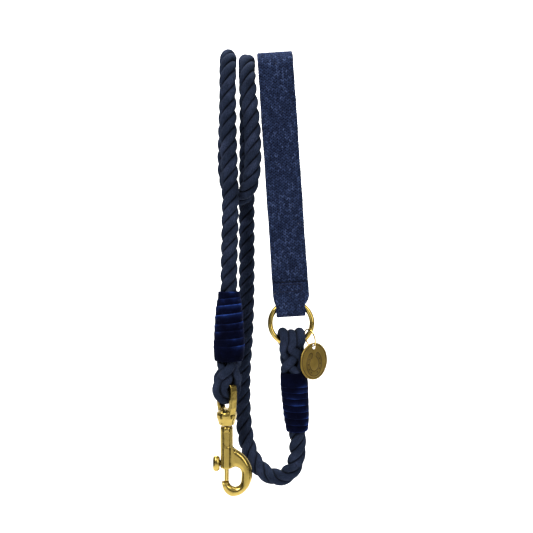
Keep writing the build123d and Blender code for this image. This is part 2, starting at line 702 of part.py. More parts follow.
def strap_midline():
    """(y, z) from the front leg's lower end, over the hand, down the back,
    round the ring and up to the end of the tab."""
    line = [(FRONT_Y, FRONT_END + (BEND_Z - FRONT_END) * i / 40) for i in range(41)]
    for degrees in range(6, 180, 6):
        a = math.radians(degrees)
        line.append((-BEND_R * math.cos(a), BEND_Z + BEND_R * math.sin(a)))
    line.append((BACK_Y, BEND_Z))
    line += eased((BACK_Y, BEND_Z), (UNDER_Y, SEW_TOP), 40,
                  lambda f: ease(f) * 0.8 + f * f * (2 - f) * 0.2)
    line += [(UNDER_Y, SEW_TOP - drop) for drop in (2.1, 4.2, 6.3)]
    line.append((UNDER_Y, SEW_BOTTOM))
    line += eased((UNDER_Y, SEW_BOTTOM), (FOLD_INNER_Y, FOLD_OPEN_Z), 6, ease)
    line += [(FOLD_INNER_Y, FOLD_STRAIGHT_Z), (FOLD_INNER_Y, FOLD_Z)]
    for degrees in range(12, 180, 12):
        a = math.radians(degrees)
        line.append((FRONT_Y + FOLD_R * math.cos(a), FOLD_Z - FOLD_R * math.sin(a)))
    line += [(FOLD_OUTER_Y, FOLD_Z), (FOLD_OUTER_Y, FOLD_STRAIGHT_Z)]
    line += eased((FOLD_OUTER_Y, FOLD_OPEN_Z), (TAB_Y, SEW_BOTTOM), 6, ease)
    line += [(TAB_Y, SEW_BOTTOM + rise) for rise in (2.1, 4.2, 6.2)]
    line.append((TAB_Y, SEW_TOP))
    return np.array(line)


STRAP = strap_midline()
STRAP_ALONG = np.gradient(STRAP, axis=0)
STRAP_ALONG /= np.linalg.norm(STRAP_ALONG, axis=1)[:, None]
# towards the outside of the loop
STRAP_OUT = np.stack([-STRAP_ALONG[:, 1], STRAP_ALONG[:, 0]], axis=1)


def layer(inner, outer):
    """Outline between two distances outward from the strap mid-line."""
    outside = STRAP + STRAP_OUT * outer
    inside = (STRAP + STRAP_OUT * inner)[::-1]
    return [tuple(p) for p in outside] + [tuple(p) for p in inside]


def strap_plane(x):
    """Plane square to the strap's width: local x is Y, local y is up the strap."""
    return Plane(origin=(x * STRAP_ACROSS[0], 0, x * STRAP_ACROSS[2]),
                 x_dir=(0, 1, 0), z_dir=STRAP_ACROSS)


def strap_face_plane(y):
    """Plane facing the front, local x across the strap and local y up it."""
    return Plane(origin=(0, y, 0), x_dir=STRAP_ACROSS, z_dir=(0, -1, 0))


def build_handle_knit_cover():
    half = STRAP_W / 2
    with BuildPart() as handle_knit_cover:
        with BuildSketch(strap_plane(STRAP_SHIFT - half)):
            with BuildLine():
                Polyline(*layer(STRAP_T / 2 - KNIT_T, STRAP_T / 2), close=True)
            make_face()
        extrude(amount=STRAP_W)
        for x in (-half, half - EDGE_W):
            with BuildSketch(strap_plane(STRAP_SHIFT + x)):
                with BuildLine():
                    Polyline(*layer(-STRAP_T / 2, STRAP_T / 2 - KNIT_T + 0.3), close=True)
                make_face()
            extrude(amount=EDGE_W)
        # taper both sides down to the narrow fold
        with BuildSketch(strap_face_plane(FRONT_Y - 12)):
            for side in (1, -1):
                with BuildLine():
                    Polyline((side * FOLD_HALF, -182), (side * FOLD_HALF, TAPER_BOTTOM),
                             (STRAP_SHIFT + side * (half + 0.001), TAPER_TOP),
                             (side * (half + 6), TAPER_TOP), (side * (half + 6), -182),
                             close=True)
                make_face()
        extrude(amount=-24, mode=Mode.SUBTRACT)
    save(handle_knit_cover.part, "handle_knit_cover")


def build_handle_webbing_core():
    with BuildPart() as handle_webbing_core:
        with BuildSketch(strap_plane(-CORE_HALF)):
            with BuildLine():
                Polyline(*layer(-STRAP_T / 2 + 0.02, STRAP_T / 2 - KNIT_T - 0.06), close=True)
            make_face()
        extrude(amount=2 * CORE_HALF)
    save(handle_webbing_core.part, "handle_webbing_core")


def build_handle_stitching():
    """Box of lock stitches through the three layers at the tab."""
    front_face, back_face = TAB_Y - STRAP_T / 2, UNDER_Y + STRAP_T / 2
    with BuildPart() as handle_stitching:
        for y in (front_face, back_face):
            with BuildSketch(strap_face_plane(y + LINE_T / 2)):
                with Locations((STRAP_SHIFT, BOX_Z)):
                    Rectangle(BOX_W + LINE_W, BOX_H + LINE_W)
                    Rectangle(BOX_W - LINE_W, BOX_H - LINE_W, mode=Mode.SUBTRACT)
            extrude(amount=LINE_T)
        with BuildSketch(strap_face_plane(front_face)):
            for i in range(STITCHES + 1):
                for z in (BOX_Z - BOX_H / 2, BOX_Z + BOX_H / 2):
                    with Locations((STRAP_SHIFT + (i - STITCHES / 2) * STITCH, z)):
                        Circle(THREAD_R)
        extrude(amount=-(back_face - front_face))
    save(handle_stitching.part, "handle_stitching")


for strand in (-1, 0, 1):
    build_snap_leg_strand(strand)
    build_coil_strand(strand)
    build_ring_leg_strand(strand)
build_velvet_wraps()
build_swivel_eye()
build_snap_body()
build_bolt_pin()
build_thumb_knob()
build_bolt_spring()
build_o_ring()
build_jump_ring()
build_round_tag()
build_handle_knit_cover()
build_handle_webbing_core()
build_handle_stitching()
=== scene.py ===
import math
from types import SimpleNamespace

import bpy
import numpy as np
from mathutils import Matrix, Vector
from mathutils.kdtree import KDTree


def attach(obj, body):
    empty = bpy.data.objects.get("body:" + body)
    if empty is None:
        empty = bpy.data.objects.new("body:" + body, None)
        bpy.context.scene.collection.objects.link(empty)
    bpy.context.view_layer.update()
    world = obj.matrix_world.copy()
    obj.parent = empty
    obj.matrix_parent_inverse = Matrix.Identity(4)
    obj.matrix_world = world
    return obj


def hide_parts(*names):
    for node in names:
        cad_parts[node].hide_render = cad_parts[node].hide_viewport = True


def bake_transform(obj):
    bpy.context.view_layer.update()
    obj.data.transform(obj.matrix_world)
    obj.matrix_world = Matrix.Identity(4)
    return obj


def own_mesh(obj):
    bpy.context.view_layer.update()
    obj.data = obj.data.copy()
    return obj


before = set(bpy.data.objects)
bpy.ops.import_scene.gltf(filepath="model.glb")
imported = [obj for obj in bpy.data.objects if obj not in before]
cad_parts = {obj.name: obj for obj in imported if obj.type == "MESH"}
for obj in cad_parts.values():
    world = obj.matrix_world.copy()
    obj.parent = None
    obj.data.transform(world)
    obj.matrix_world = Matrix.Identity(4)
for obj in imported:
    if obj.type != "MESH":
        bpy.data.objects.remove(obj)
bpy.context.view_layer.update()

# ---------------------------------------------------------------------------
# Driving dimensions
# ---------------------------------------------------------------------------
# Rope: three strands laid right-handed
ROPE_DIA = 12.3
STRAND_R = 2.43
HELIX_R = ROPE_DIA / 2 - STRAND_R
LAY = 29.4
STRAND_PER_ROPE = 1.262          # length of strand in a unit length of rope

# Splices: six strands round a core line, slower lay
BUNDLE_R = 5.6
BUNDLE_LAY = 85.0

# Centreline of the rope from the snap splice to the ring splice: x, y, z
ROUTE = [
    (-32.48, -15, -208.0), (-32.48, -15, -198.6), (-32.48, -15, -187.95), (-32.48, -15, -177.3),
    (-32.48, -15, -166.65), (-32.48, -15, -156.0), (-32.44, -15, -145.35),
    (-32.30, -15, -134.7), (-32.03, -15, -120.5), (-31.72, -15, -106.3), (-31.55, -15, -92.1),
    (-31.80, -15, -77.9), (-32.26, -15, -63.7), (-32.72, -15, -49.5), (-33.04, -15, -35.3),
    (-33.30, -15, -21.1), (-33.38, -15, -12.0), (-33.40, -14.2, -4.2), (-33.48, -10.6, 4.2),
    (-33.62, -5.2, 10.6), (-33.84, 1.0, 13.4), (-34.20, 7.2, 12.2), (-34.65, 12.6, 6.9),
    (-35.06, 16.2, -0.6), (-35.50, 18, -9.6), (-35.97, 18.5, -21.4), (-36.42, 18.5, -35.9),
    (-36.81, 18.2, -49.5), (-36.90, 17.6, -61.05), (-36.10, 15.9, -71.07), (-33.94, 12.5, -79.6),
    (-30.48, 7.5, -85.7), (-26.31, 1.6, -88.5), (-22.0, -4.3, -87.1), (-18.55, -9.5, -82.3),
    (-16.54, -12.9, -75.3), (-15.60, -14.6, -66.49), (-15.35, -15, -56.6), (-15.65, -15, -45.95),
    (-16.48, -15, -35.3), (-17.67, -15, -24.65), (-18.75, -14.8, -14.5), (-19.43, -13.2, -5.6),
    (-19.83, -9.6, 2.4), (-20.13, -4.2, 8.2), (-20.37, 1.9, 10.3), (-20.54, 8.0, 8.6),
    (-20.63, 13.4, 3.7), (-20.60, 17.4, -4.2), (-20.50, 19.3, -14.5), (-20.44, 20, -28.02),
    (-20.51, 20, -47.01), (-20.66, 19.8, -66.03), (-20.80, 19.3, -88.86), (-20.77, 18.5, -111.66),
    (-20.72, 17.5, -134.4), (-20.85, 16.5, -157.05), (-21.35, 15.5, -178.11),
    (-22.25, 14.5, -196.83), (-23.22, 13.5, -211.73), (-23.75, 12.9, -224.41),
    (-23.80, 12, -236.22), (-23.35, 10.9, -247.99), (-22.31, 9.4, -258.85),
    (-20.54, 7.5, -268.78), (-18.05, 5.5, -276.42), (-14.39, 3.3, -282.9), (-9.66, 1.1, -288.0),
    (-3.95, -1, -291.35), (2.29, -3.1, -292.4), (8.20, -5.4, -290.3), (12.70, -7.6, -285.2),
    (15.40, -9.5, -277.82), (16.35, -11.1, -269.16), (16.30, -12.4, -260.5),
    (15.95, -13.25, -252.0), (15.35, -13.8, -243.0), (14.75, -14.2, -234.0),
    (14.10, -14.6, -225.0), (13.45, -15.0, -216.0), (12.75, -15.3, -206.5),
]

UP = np.array([0.0, 0.0, 1.0])
FRONT = np.array([0.0, -1.0, 0.0])

# Middle of the snap's rope bar; the rope eye loops in the plane of ACROSS and UP, and its
# strands lie side by side ALONG the bar
SNAP_BAR = np.array([-34.18, -15.0, -225.0])
SNAP_ACROSS = np.array([-math.cos(math.radians(40)), -math.sin(math.radians(40)), 0.0])
SNAP_ALONG = np.array([math.cos(math.radians(50)), -math.sin(math.radians(50)), 0.0])

# O-ring, in the XZ plane, and the rope eye round its lowest point
RING_R = 14.8                    # centreline radius
RING_WIRE = 1.9
RING_C = np.array([11.62, -15.0, -179.43])
RING_BOTTOM = RING_C - RING_R * UP
RING_EYE_C = RING_BOTTOM + 1.3 * UP
RING_ALONG = np.array([1.0, 0.0, 0.0])


# ---------------------------------------------------------------------------
# Curve helpers
# ---------------------------------------------------------------------------
def unit(v):
    return v / np.linalg.norm(v)


def unit_rows(v):
    return v / np.linalg.norm(v, axis=1)[:, None]


def square_rows(v, tangent):
    """Each row of v less its part along the same row of tangent."""
    return v - tangent * np.sum(v * tangent, axis=1)[:, None]


def arc_lengths(points):
    steps = np.linalg.norm(np.diff(points, axis=0), axis=1)
    return np.concatenate([[0], np.cumsum(steps)])


def interp_columns(x, known, table):
    """np.interp of every column of table."""
    return np.stack([np.interp(x, known, column) for column in table.T], axis=-1)


def ease(x):
    x = min(max(x, 0.0), 1.0)
    return x * x * (3 - 2 * x)


def samples(first, last, step):
    return np.linspace(first, last, max(2, int(abs(last - first) / step) + 1))


def cubic(points):
    """Natural cubic through the points, by chord length; returns samples 0.4 mm apart."""
    p = np.array(points, float)
    t = arc_lengths(p)
    n = len(p)
    h = np.diff(t)
    matrix = np.zeros((n, n))
    right = np.zeros((n, 3))
    matrix[0, 0] = matrix[-1, -1] = 1
    for i in range(1, n - 1):
        matrix[i, i - 1:i + 2] = h[i - 1], 2 * (h[i - 1] + h[i]), h[i]
        right[i] = 6 * ((p[i + 1] - p[i]) / h[i] - (p[i] - p[i - 1]) / h[i - 1])
    bend = np.linalg.solve(matrix, right)
    u = np.linspace(0, t[-1], int(t[-1] / 0.4) + 1)
    i = np.clip(np.searchsorted(t, u, side="right") - 1, 0, n - 2)
    after, span = (u - t[i])[:, None], h[i][:, None]
    before = span - after
    return (
        (bend[i] * before**3 + bend[i + 1] * after**3) / (6 * span)
        + (p[i] / span - bend[i] * span / 6) * before
        + (p[i + 1] / span - bend[i + 1] * span / 6) * after
    )


def carried_normals(line, tangent, start):
    """Rotation-minimising normals along the line (double reflection)."""
    normals = np.zeros_like(line)
    normals[0] = unit(start - tangent[0] * (start @ tangent[0]))
    for i in range(len(line) - 1):
        step = line[i + 1] - line[i]
        scale = 2 / (step @ step)
        normal = normals[i] - scale * (step @ normals[i]) * step
        turned = tangent[i + 1] - (tangent[i] - scale * (step @ tangent[i]) * step)
        size = turned @ turned
        if size > 1e-18:
            normal = normal - 2 / size * (turned @ normal) * turned
        normals[i + 1] = unit(normal)
    return normals


# ---------------------------------------------------------------------------
# Rope centreline; s is arc length from the snap end
# ---------------------------------------------------------------------------
LINE = cubic(ROUTE)
TANGENT = unit_rows(np.gradient(LINE, axis=0))
ARC = arc_lengths(LINE)
LENGTH = float(ARC[-1])
NORMAL = carried_normals(LINE, TANGENT, SNAP_ACROSS)

SNAP_SIX_END = 36.0              # end of the six-strand stretch
SNAP_PLAIN = 53.0                # plain rope from here
RING_SIX_END = LENGTH - 33.0
RING_PLAIN = LENGTH - 52.0
TURN_START = 10.0                # the pattern starts to turn over this length at each end


def frame_at(s):
    """Centre, tangent, normal and binormal at s."""
    centre, tangent, normal = (interp_columns(s, ARC, table) for table in (LINE, TANGENT, NORMAL))
    tangent = unit(tangent)
    normal = unit(normal - tangent * (normal @ tangent))
    return centre, tangent, normal, np.cross(tangent, normal)


def arc_at(value, axis, low, high):
    """Arc length between low and high where a coordinate is nearest the value."""
    s = np.linspace(low, high, 4001)
    return float(s[np.argmin(np.abs(np.interp(s, ARC, LINE[:, axis]) - value))])


def spread(s):
    """Fraction from splice pattern (0) to plain three-strand rope (1)."""
    if s < LENGTH / 2:
        return ease((s - SNAP_SIX_END) / (SNAP_PLAIN - SNAP_SIX_END))
    return ease((RING_SIX_END - s) / (RING_SIX_END - RING_PLAIN))


def lay_rate(s):
    """Turn per millimetre of the strand pattern about the centreline."""
    fast, slow = 2 * math.pi / LAY, 2 * math.pi / BUNDLE_LAY
    from_end = min(s, LENGTH - s)
    if from_end < TURN_START:
        return slow * ease(from_end / TURN_START)
    return slow + (fast - slow) * spread(s)


def turn_table(stations):
    """Pattern angle at each station, and the strand in the middle of the ring eye.

    The pattern has to land square to the ring: the small miss is taken up over the last
    stretch of rope and the splice.
    """
    rates = np.array([lay_rate(s) for s in stations])
    middle_rates = (rates[1:] + rates[:-1]) / 2
    angles = np.concatenate([[0], np.cumsum(middle_rates * np.diff(stations))])
    normal = frame_at(LENGTH)[2]
    skew = math.atan2(normal @ RING_ALONG, normal @ FRONT)
    misses = {}
    for j in (-1, 0, 1):
        miss = (angles[-1] + j * 2 * math.pi / 3 + skew) % (2 * math.pi)
        misses[j] = miss - 2 * math.pi if miss > math.pi else miss
    middle = min(misses, key=lambda j: abs(misses[j]))
    start, end = LENGTH - 130.0, LENGTH - 6
    taken = np.array([ease((s - start) / (end - start)) for s in stations])
    return angles - misses[middle] * taken, middle


TURN_STATIONS = np.linspace(0, LENGTH, 6001)
TURN_ANGLES, RING_MIDDLE = turn_table(TURN_STATIONS)


def turn(s):
    return float(np.interp(s, TURN_STATIONS, TURN_ANGLES))


# ---------------------------------------------------------------------------
# Strand paths; strands are numbered -1, 0, 1
# ---------------------------------------------------------------------------
def shifted(j, by):
    return (j + by + 1) % 3 - 1


def end_labels(j, s):
    """Angle of the nearer end's middle strand, and strand j counted from that strand."""
    if s < LENGTH / 2:
        return 0.0, j
    return RING_MIDDLE * 2 * math.pi / 3, shifted(j, -RING_MIDDLE)


def around(s, radius, angle):
    centre, _, normal, binormal = frame_at(s)
    return centre + radius * (math.cos(angle) * normal + math.sin(angle) * binormal)


def lay_radius(s):
    return BUNDLE_R + (HELIX_R - BUNDLE_R) * spread(s)


def standing(j, s):
    """Centre of strand j at s."""
    middle, label = end_labels(j, s)
    fan = label * math.radians(60 + 60 * spread(s))
    return around(s, lay_radius(s), math.pi + middle + fan + turn(s))


def tail(j, s):
    """Centre of the tucked tail of strand j in a splice."""
    middle, label = end_labels(j, s)
    return around(s, BUNDLE_R, middle - label * math.radians(60) + turn(s))


def eye_arc(centre, across, along, radius, offset, degrees, skew=0.0, lift=0.0):
    points = []
    for degree in degrees:
        angle = math.radians(degree)
        point = centre + radius * (math.cos(angle) * across + math.sin(angle) * UP)
        points.append(point + (offset + skew * math.cos(angle)) * along + lift * UP)
    return points


def snap_eye(j):
    """Strand j from the standing side, under the bar and up to the tail side."""
    radius, step = (4.85, 14) if j else (9.45, 8)
    return eye_arc(SNAP_BAR, SNAP_ACROSS, SNAP_ALONG, radius, -j * 2.75, range(186, 355, step))


def ring_eye(j):
    """Strand j from the standing side over the ring wire and down the tail side."""
    label = shifted(j, -RING_MIDDLE)
    return eye_arc(RING_EYE_C, FRONT, RING_ALONG, 6.75, -label * 5.9, range(176, 3, -14),
                   skew=1.1, lift=1.2 if label else 0.0)


S_TOP = arc_at(1.0, 1, 200, 260)           # top of the first bend, rope runs along +Y
S_BOTTOM = arc_at(2.29, 0, LENGTH - 130, LENGTH - 60)   # lowest point, rope runs along +X

# Seams between pieces lie clear of the tops and bottoms of the bends
S_TOP_SEAM = S_TOP + 24.0
S_COIL_SEAM = S_BOTTOM - 17.0
S_RING_SEAM = S_BOTTOM + 20.0

# A splice's strands pass over and under one another between plait_from, at the eye, and
# plait_to, through sweep degrees. From calm_from, over calm_over, the mean radius and the
# swing about it drop: each is (value at the eye, drop). inward is the way s runs, away
# from the eye.
SPLICES = {
    "snap": SimpleNamespace(
        eye=snap_eye, eye_centre=SNAP_BAR, along=SNAP_ALONG, line_end=LINE[0], end_s=0.0,
        inward=1, middle=0, seam=S_TOP_SEAM, tail_end=38.0, plait_from=-9.5, plait_to=4.6,
        sweep=120, calm_from=-4.5, calm_over=6.0, radius=(6.1, 0.5), swing=(2.0, 1.3)),
    "ring": SimpleNamespace(
        eye=ring_eye, eye_centre=RING_EYE_C, along=RING_ALONG, line_end=LINE[-1],
        end_s=LENGTH, inward=-1, middle=RING_MIDDLE, seam=S_RING_SEAM,
        tail_end=LENGTH - 35.0, plait_from=LENGTH + 9.0, plait_to=LENGTH - 19.0,
        sweep=240, calm_from=LENGTH - 5.0, calm_over=-4.0, radius=(5.75, 0.15),
        swing=(1.75, 1.15)),
}
PLAIT_SWING = math.radians(60) / math.sin(math.radians(120))


def plaited(label, s, splice, is_tail):
    """Strand of this label in the plait, and the splice's centre there."""
    centre, _, normal, binormal = frame_at(s)
    beyond = max((splice.end_s - s) * splice.inward, 0.0)
    centre = centre + unit(splice.eye_centre - splice.line_end) * beyond
    share = (s - splice.plait_from) / (splice.plait_to - splice.plait_from)
    calm = ease((s - splice.calm_from) / splice.calm_over)
    start = (-120 * label if is_tail else 120 * label) % 360
    phase = math.radians(start) + math.radians(splice.sweep) * share
    angle = turn(s) + splice.middle * 2 * math.pi / 3
    angle += PLAIT_SWING * math.sin(phase) + (0 if is_tail else math.pi)
    radius = splice.radius[0] - splice.radius[1] * calm
    radius += (splice.swing[0] - splice.swing[1] * calm) * math.sin(2 * phase)
    return centre + radius * (math.cos(angle) * normal + math.sin(angle) * binormal), centre


def leg_controls(j, splice):
    """Strand j from its seam round the eye to its tail: (point, outward, plain 0..1)."""
    controls = []

    def put(point, outward, plain=0.0):
        controls.append((point, unit(outward), plain))

    def plait(first, last, is_tail):
        for s in samples(first, last, 2.0):
            point, centre = plaited(label, s, splice, is_tail)
            put(point, point - centre)

    eye_strand = shifted(j, -splice.inward)
    label = shifted(eye_strand, -splice.middle)
    for s in samples(splice.seam, splice.plait_to + splice.inward * 2.0, LAY / 12):
        point = standing(j, s)
        put(point, point - frame_at(s)[0], spread(s))
    plait(splice.plait_to, splice.plait_from, is_tail=False)
    for point in splice.eye(eye_strand):
        arm = point - splice.eye_centre
        put(point, arm - splice.along * (arm @ splice.along))
    plait(splice.plait_from, splice.plait_to, is_tail=True)
    for s in samples(splice.plait_to + splice.inward * 2.4, splice.tail_end, 3.4):
        point = tail(shifted(eye_strand, -splice.inward), s)
        put(point, point - frame_at(s)[0])
    return controls


# ---------------------------------------------------------------------------
# Mesh helpers
# ---------------------------------------------------------------------------
def add_object(name, data):
    ob = bpy.data.objects.new(name, data)
    bpy.context.scene.collection.objects.link(ob)
    return ob


def smooth_shade(me):
    me.polygons.foreach_set("use_smooth", np.ones(len(me.polygons), bool))


def new_mesh(name, verts_mm, quads, tris=(), attrs=None):
    """Smooth mesh object with float point attributes."""
    verts = np.asarray(verts_mm, np.float64) / 1000.0
    quads = np.asarray(quads, np.int64).reshape(-1, 4)
    tris = np.asarray(tris, np.int64).reshape(-1, 3)
    corners = np.concatenate([quads.ravel(), tris.ravel()])
    starts = np.concatenate([np.arange(len(quads)) * 4,
                             len(quads) * 4 + np.arange(len(tris)) * 3])
    me = bpy.data.meshes.new(name)
    me.vertices.add(len(verts))
    me.vertices.foreach_set("co", verts.astype(np.float32).ravel())
    me.loops.add(len(corners))
    me.loops.foreach_set("vertex_index", corners.astype(np.int32))
    me.polygons.add(len(quads) + len(tris))
    me.polygons.foreach_set("loop_start", starts.astype(np.int32))
    me.update(calc_edges=True)
    me.validate()
    smooth_shade(me)
    for key, values in (attrs or {}).items():
        attribute = me.attributes.new(key, "FLOAT", "POINT")
        attribute.data.foreach_set("value", np.asarray(values, np.float32).ravel())
    return add_object(name, me)


def grid_quads(rows, sides, wrap_rows=False):
    """Quads of a grid of rows, each row a closed ring."""
    i = np.arange(rows if wrap_rows else rows - 1)[:, None]
    j = np.arange(sides)[None, :]
    following = (i + 1) % rows
    beside = (j + 1) % sides
    corners = [i * sides + j, i * sides + beside, following * sides + beside,
               following * sides + j]
    return np.stack(corners, axis=-1).reshape(-1, 4)


def cap_tris(rows, sides):
    """Fans closing both ends of a grid; their two centre vertices come after it."""
    j = np.arange(sides)
    beside = (j + 1) % sides
    centre = rows * sides
    last = (rows - 1) * sides
    return np.concatenate([
        np.stack([np.full(sides, centre), beside, j], axis=1),
        np.stack([np.full(sides, centre + 1), last + j, last + beside], axis=1),
    ])


def capped_mesh(name, verts, shape, ends, attrs=None):
    """Grid of shape (rows, sides) closed by fans; attrs hold (values, value at the ends)."""
    attrs = {key: np.append(values, [end, end]) for key, (values, end) in (attrs or {}).items()}
    return new_mesh(name, np.concatenate([verts, ends]), grid_quads(*shape),
                    cap_tris(*shape), attrs)


def value_noise(points, size, seed):
    """Smooth noise in -1..1 at points (N x 3), lattice cell `size`."""
    p = np.asarray(points, float) / size + 1000.0
    i = np.floor(p).astype(np.int64)
    f = p - i
    f = f * f * (3 - 2 * f)
    out = np.zeros(len(p))
    for dx, dy, dz in np.ndindex(2, 2, 2):
        mixed = ((i[:, 0] + dx) * 73856093 ^ (i[:, 1] + dy) * 19349663
                 ^ (i[:, 2] + dz) * 83492791 ^ seed * 2654435761)
        mixed = (mixed ^ (mixed >> 13)) * 1274126177 & 0xFFFFFFFF
        mixed = (mixed ^ (mixed >> 16)) & 0xFFFF
        weight = f[:, 0] if dx else 1 - f[:, 0]
        weight = weight * (f[:, 1] if dy else 1 - f[:, 1])
        weight = weight * (f[:, 2] if dz else 1 - f[:, 2])
        out += weight * (mixed / 32767.5 - 1.0)
    return out


def tube(points, outward, radius_out, radius_side, sides, ridges=0, ridge_depth=0.0,
         ridge_twist=0.0, rough=0.0, seed=1, start_length=0.0):
    """Closed tube along points. outward is the way the section's first axis faces;
    the radii are its half widths. Returns (verts, quads, tris, valley) and its end length."""
    p = np.asarray(points, float)
    n = len(p)
    tangent = unit_rows(np.gradient(p, axis=0))
    first = unit_rows(square_rows(np.asarray(outward, float), tangent))
    second = np.cross(tangent, first)
    length = arc_lengths(p) + start_length
    phi = np.linspace(0, 2 * math.pi, sides, endpoint=False)
    out_half = np.broadcast_to(np.asarray(radius_out, float), (n,))[:, None]
    side_half = np.broadcast_to(np.asarray(radius_side, float), (n,))[:, None]
    swell = np.ones((n, sides))
    valley = np.zeros((n, sides))
    if ridges:
        wobble = 0.25 * np.sin(length * 0.21) + 0.18 * np.sin(length * 0.57)
        phase = ridges / 2 * (phi[None, :] + ridge_twist * length[:, None]) + wobble[:, None]
        bump = np.abs(np.cos(phase)) ** 0.6
        swell += (bump - 0.75) * ridge_depth / 2.7
        # valley marks the grooves between yarns; the materials paint them dark as shade
        valley = 1 - bump
    verts = (p[:, None, :]
             + (np.cos(phi)[None, :] * out_half * swell)[..., None] * first[:, None, :]
             + (np.sin(phi)[None, :] * side_half * swell)[..., None] * second[:, None, :])
    verts = verts.reshape(-1, 3)
    if rough:
        away = (np.cos(phi)[None, :, None] * first[:, None, :]
                + np.sin(phi)[None, :, None] * second[:, None, :]).reshape(-1, 3)
        fuzz = 0.6 * value_noise(verts, 1.1, seed) + 0.5 * value_noise(verts, 0.45, seed + 5)
        verts = verts + away * (rough * fuzz)[:, None]
    verts = np.concatenate([verts, [p[0], p[-1]]])
    valley = np.append(valley, [1.0, 1.0])
    return (verts, grid_quads(n, sides), cap_tris(n, sides), valley), float(length[-1])


def join(parts):
    """One (verts, quads, tris, valley) from several."""
    bases = np.cumsum([0] + [len(part[0]) for part in parts[:-1]])
    return (
        np.concatenate([part[0] for part in parts]),
        np.concatenate([part[1] + base for part, base in zip(parts, bases)]),
        np.concatenate([part[2] + base for part, base in zip(parts, bases)]),
        np.concatenate([part[3] for part in parts]),
    )


def valley_mesh(name, part):
    verts, quads, tris, valley = part
    return new_mesh(name, verts, quads, tris, {"valley": valley})


# ---------------------------------------------------------------------------
# Materials
# ---------------------------------------------------------------------------
def srgb(r, g, b):
    """sRGB 0-255 to linear."""
    return tuple(((c / 255) / 12.92 if c <= 10 else ((c / 255 + 0.055) / 1.055) ** 2.4)
                 for c in (r, g, b)) + (1.0,)


def grey(value):
    return (value, value, value, 1)


class Material:
    """Builds one node material round a Principled shader."""

    def __init__(self, name):
        self.material = bpy.data.materials.new(name)
        self.material.use_nodes = True
        self.tree = self.material.node_tree
        self.tree.nodes.clear()
        output = self.add("ShaderNodeOutputMaterial")
        self.shader = self.add("ShaderNodeBsdfPrincipled")
        self.tree.links.new(self.shader.outputs[0], output.inputs[0])

    def add(self, kind, **props):
        node = self.tree.nodes.new(kind)
        for key, value in props.items():
            setattr(node, key, value)
        return node

    def feed(self, socket, value):
        """Set a socket to a plain value, or link it to an output."""
        if isinstance(value, (int, float, tuple)):
            socket.default_value = value
        else:
            self.tree.links.new(value, socket)

    def noise(self, scale, detail=3.0, rough=0.55, distortion=0.0):
        node = self.add("ShaderNodeTexNoise")
        self.feed(node.inputs["Scale"], scale)
        self.feed(node.inputs["Detail"], detail)
        self.feed(node.inputs["Roughness"], rough)
        self.feed(node.inputs["Distortion"], distortion)
        self.feed(node.inputs["Vector"], self.add("ShaderNodeTexCoord").outputs["Object"])
        return node.outputs["Fac"]

    def attr(self, name):
        return self.add("ShaderNodeAttribute", attribute_name=name).outputs["Fac"]

    def ramp(self, fac, stops):
        """Colour ramp; stops are (position, colour)."""
        node = self.add("ShaderNodeValToRGB")
        elements = node.color_ramp.elements
        while len(elements) < len(stops):
            elements.new(0.5)
        for element, (position, colour) in zip(elements, stops):
            element.position = position
            element.color = colour
        self.feed(node.inputs["Fac"], fac)
        return node.outputs["Color"]

    def mix(self, base, other, factor, mode="MIX"):
        node = self.add("ShaderNodeMix", data_type="RGBA", blend_type=mode)
        self.feed(node.inputs[0], factor)
        self.feed(node.inputs[6], base)
        self.feed(node.inputs[7], other)
        return node.outputs[2]

    def math(self, operation, first, second, clamp=False):
        node = self.add("ShaderNodeMath", operation=operation, use_clamp=clamp)
        self.feed(node.inputs[0], first)
        self.feed(node.inputs[1], second)
        return node.outputs[0]

    def stain_and_shade(self, base, mask, amount, colour):
        """Mix a colour in where the mask is high: real patina on the brass, painted shade on the
        cloth and rope.
        """
        return self.mix(base, colour, self.math("MULTIPLY", mask, amount, clamp=True))

    def centred(self, noise, amount):
        """Noise shifted to lie about zero, times amount."""
        return self.math("MULTIPLY", self.math("SUBTRACT", noise, 0.5), amount)

    def hollows(self, reach_mm, clear_at, samples, only_local):
        """White where ambient occlusion is deep."""
        node = self.add("ShaderNodeAmbientOcclusion", samples=samples, only_local=only_local)
        node.inputs["Distance"].default_value = reach_mm / 1000.0
        return self.ramp(node.outputs["AO"], [(0.30, grey(1)), (clear_at, grey(0))])

    def bump(self, height, depth_mm, strength, normal=None):
        node = self.add("ShaderNodeBump")
        node.inputs["Distance"].default_value = depth_mm / 1000.0
        node.inputs["Strength"].default_value = strength
        self.feed(node.inputs["Height"], height)
        if normal is not None:
            self.feed(node.inputs["Normal"], normal)
        return node.outputs[0]

    def finish(self, **inputs):
        """Feed the shader's inputs, spaces written as underscores."""
        for key, value in inputs.items():
            self.feed(self.shader.inputs[key.replace("_", " ")], value)
        return self.material


def rope_material():
    m = Material("cotton_rope")
    tone = m.noise(scale=90.0, detail=4.0)
    fine = m.noise(scale=1500.0)
    base = m.ramp(tone, [(0.30, srgb(20, 27, 40)), (0.52, srgb(29, 36, 51)),
                         (0.72, srgb(42, 49, 68))])
    specks = m.ramp(fine, [(0.40, (0.55, 0.55, 0.58, 1)), (0.60, (1.2, 1.2, 1.25, 1))])
    base = m.mix(base, specks, factor=0.8, mode="MULTIPLY")
    # painted shade: darker in the grooves between yarns and on the strand ends
    base = m.stain_and_shade(base, m.attr("valley"), amount=0.6, colour=srgb(14, 15, 26))
    # painted shade: darker where ambient occlusion finds the grooves between strands
    groove = m.hollows(reach_mm=3.5, clear_at=0.80, samples=8, only_local=False)
    base = m.stain_and_shade(base, groove, amount=0.90, colour=srgb(6, 7, 15))
    fibres = m.bump(m.noise(scale=1500.0, detail=5.0, rough=0.7), depth_mm=0.22, strength=0.8)
    return m.finish(Base_Color=base, Roughness=0.95, Sheen_Weight=0.07, Sheen_Roughness=0.55,
                    Sheen_Tint=srgb(115, 130, 150), Normal=fibres, Specular_IOR_Level=0.03)


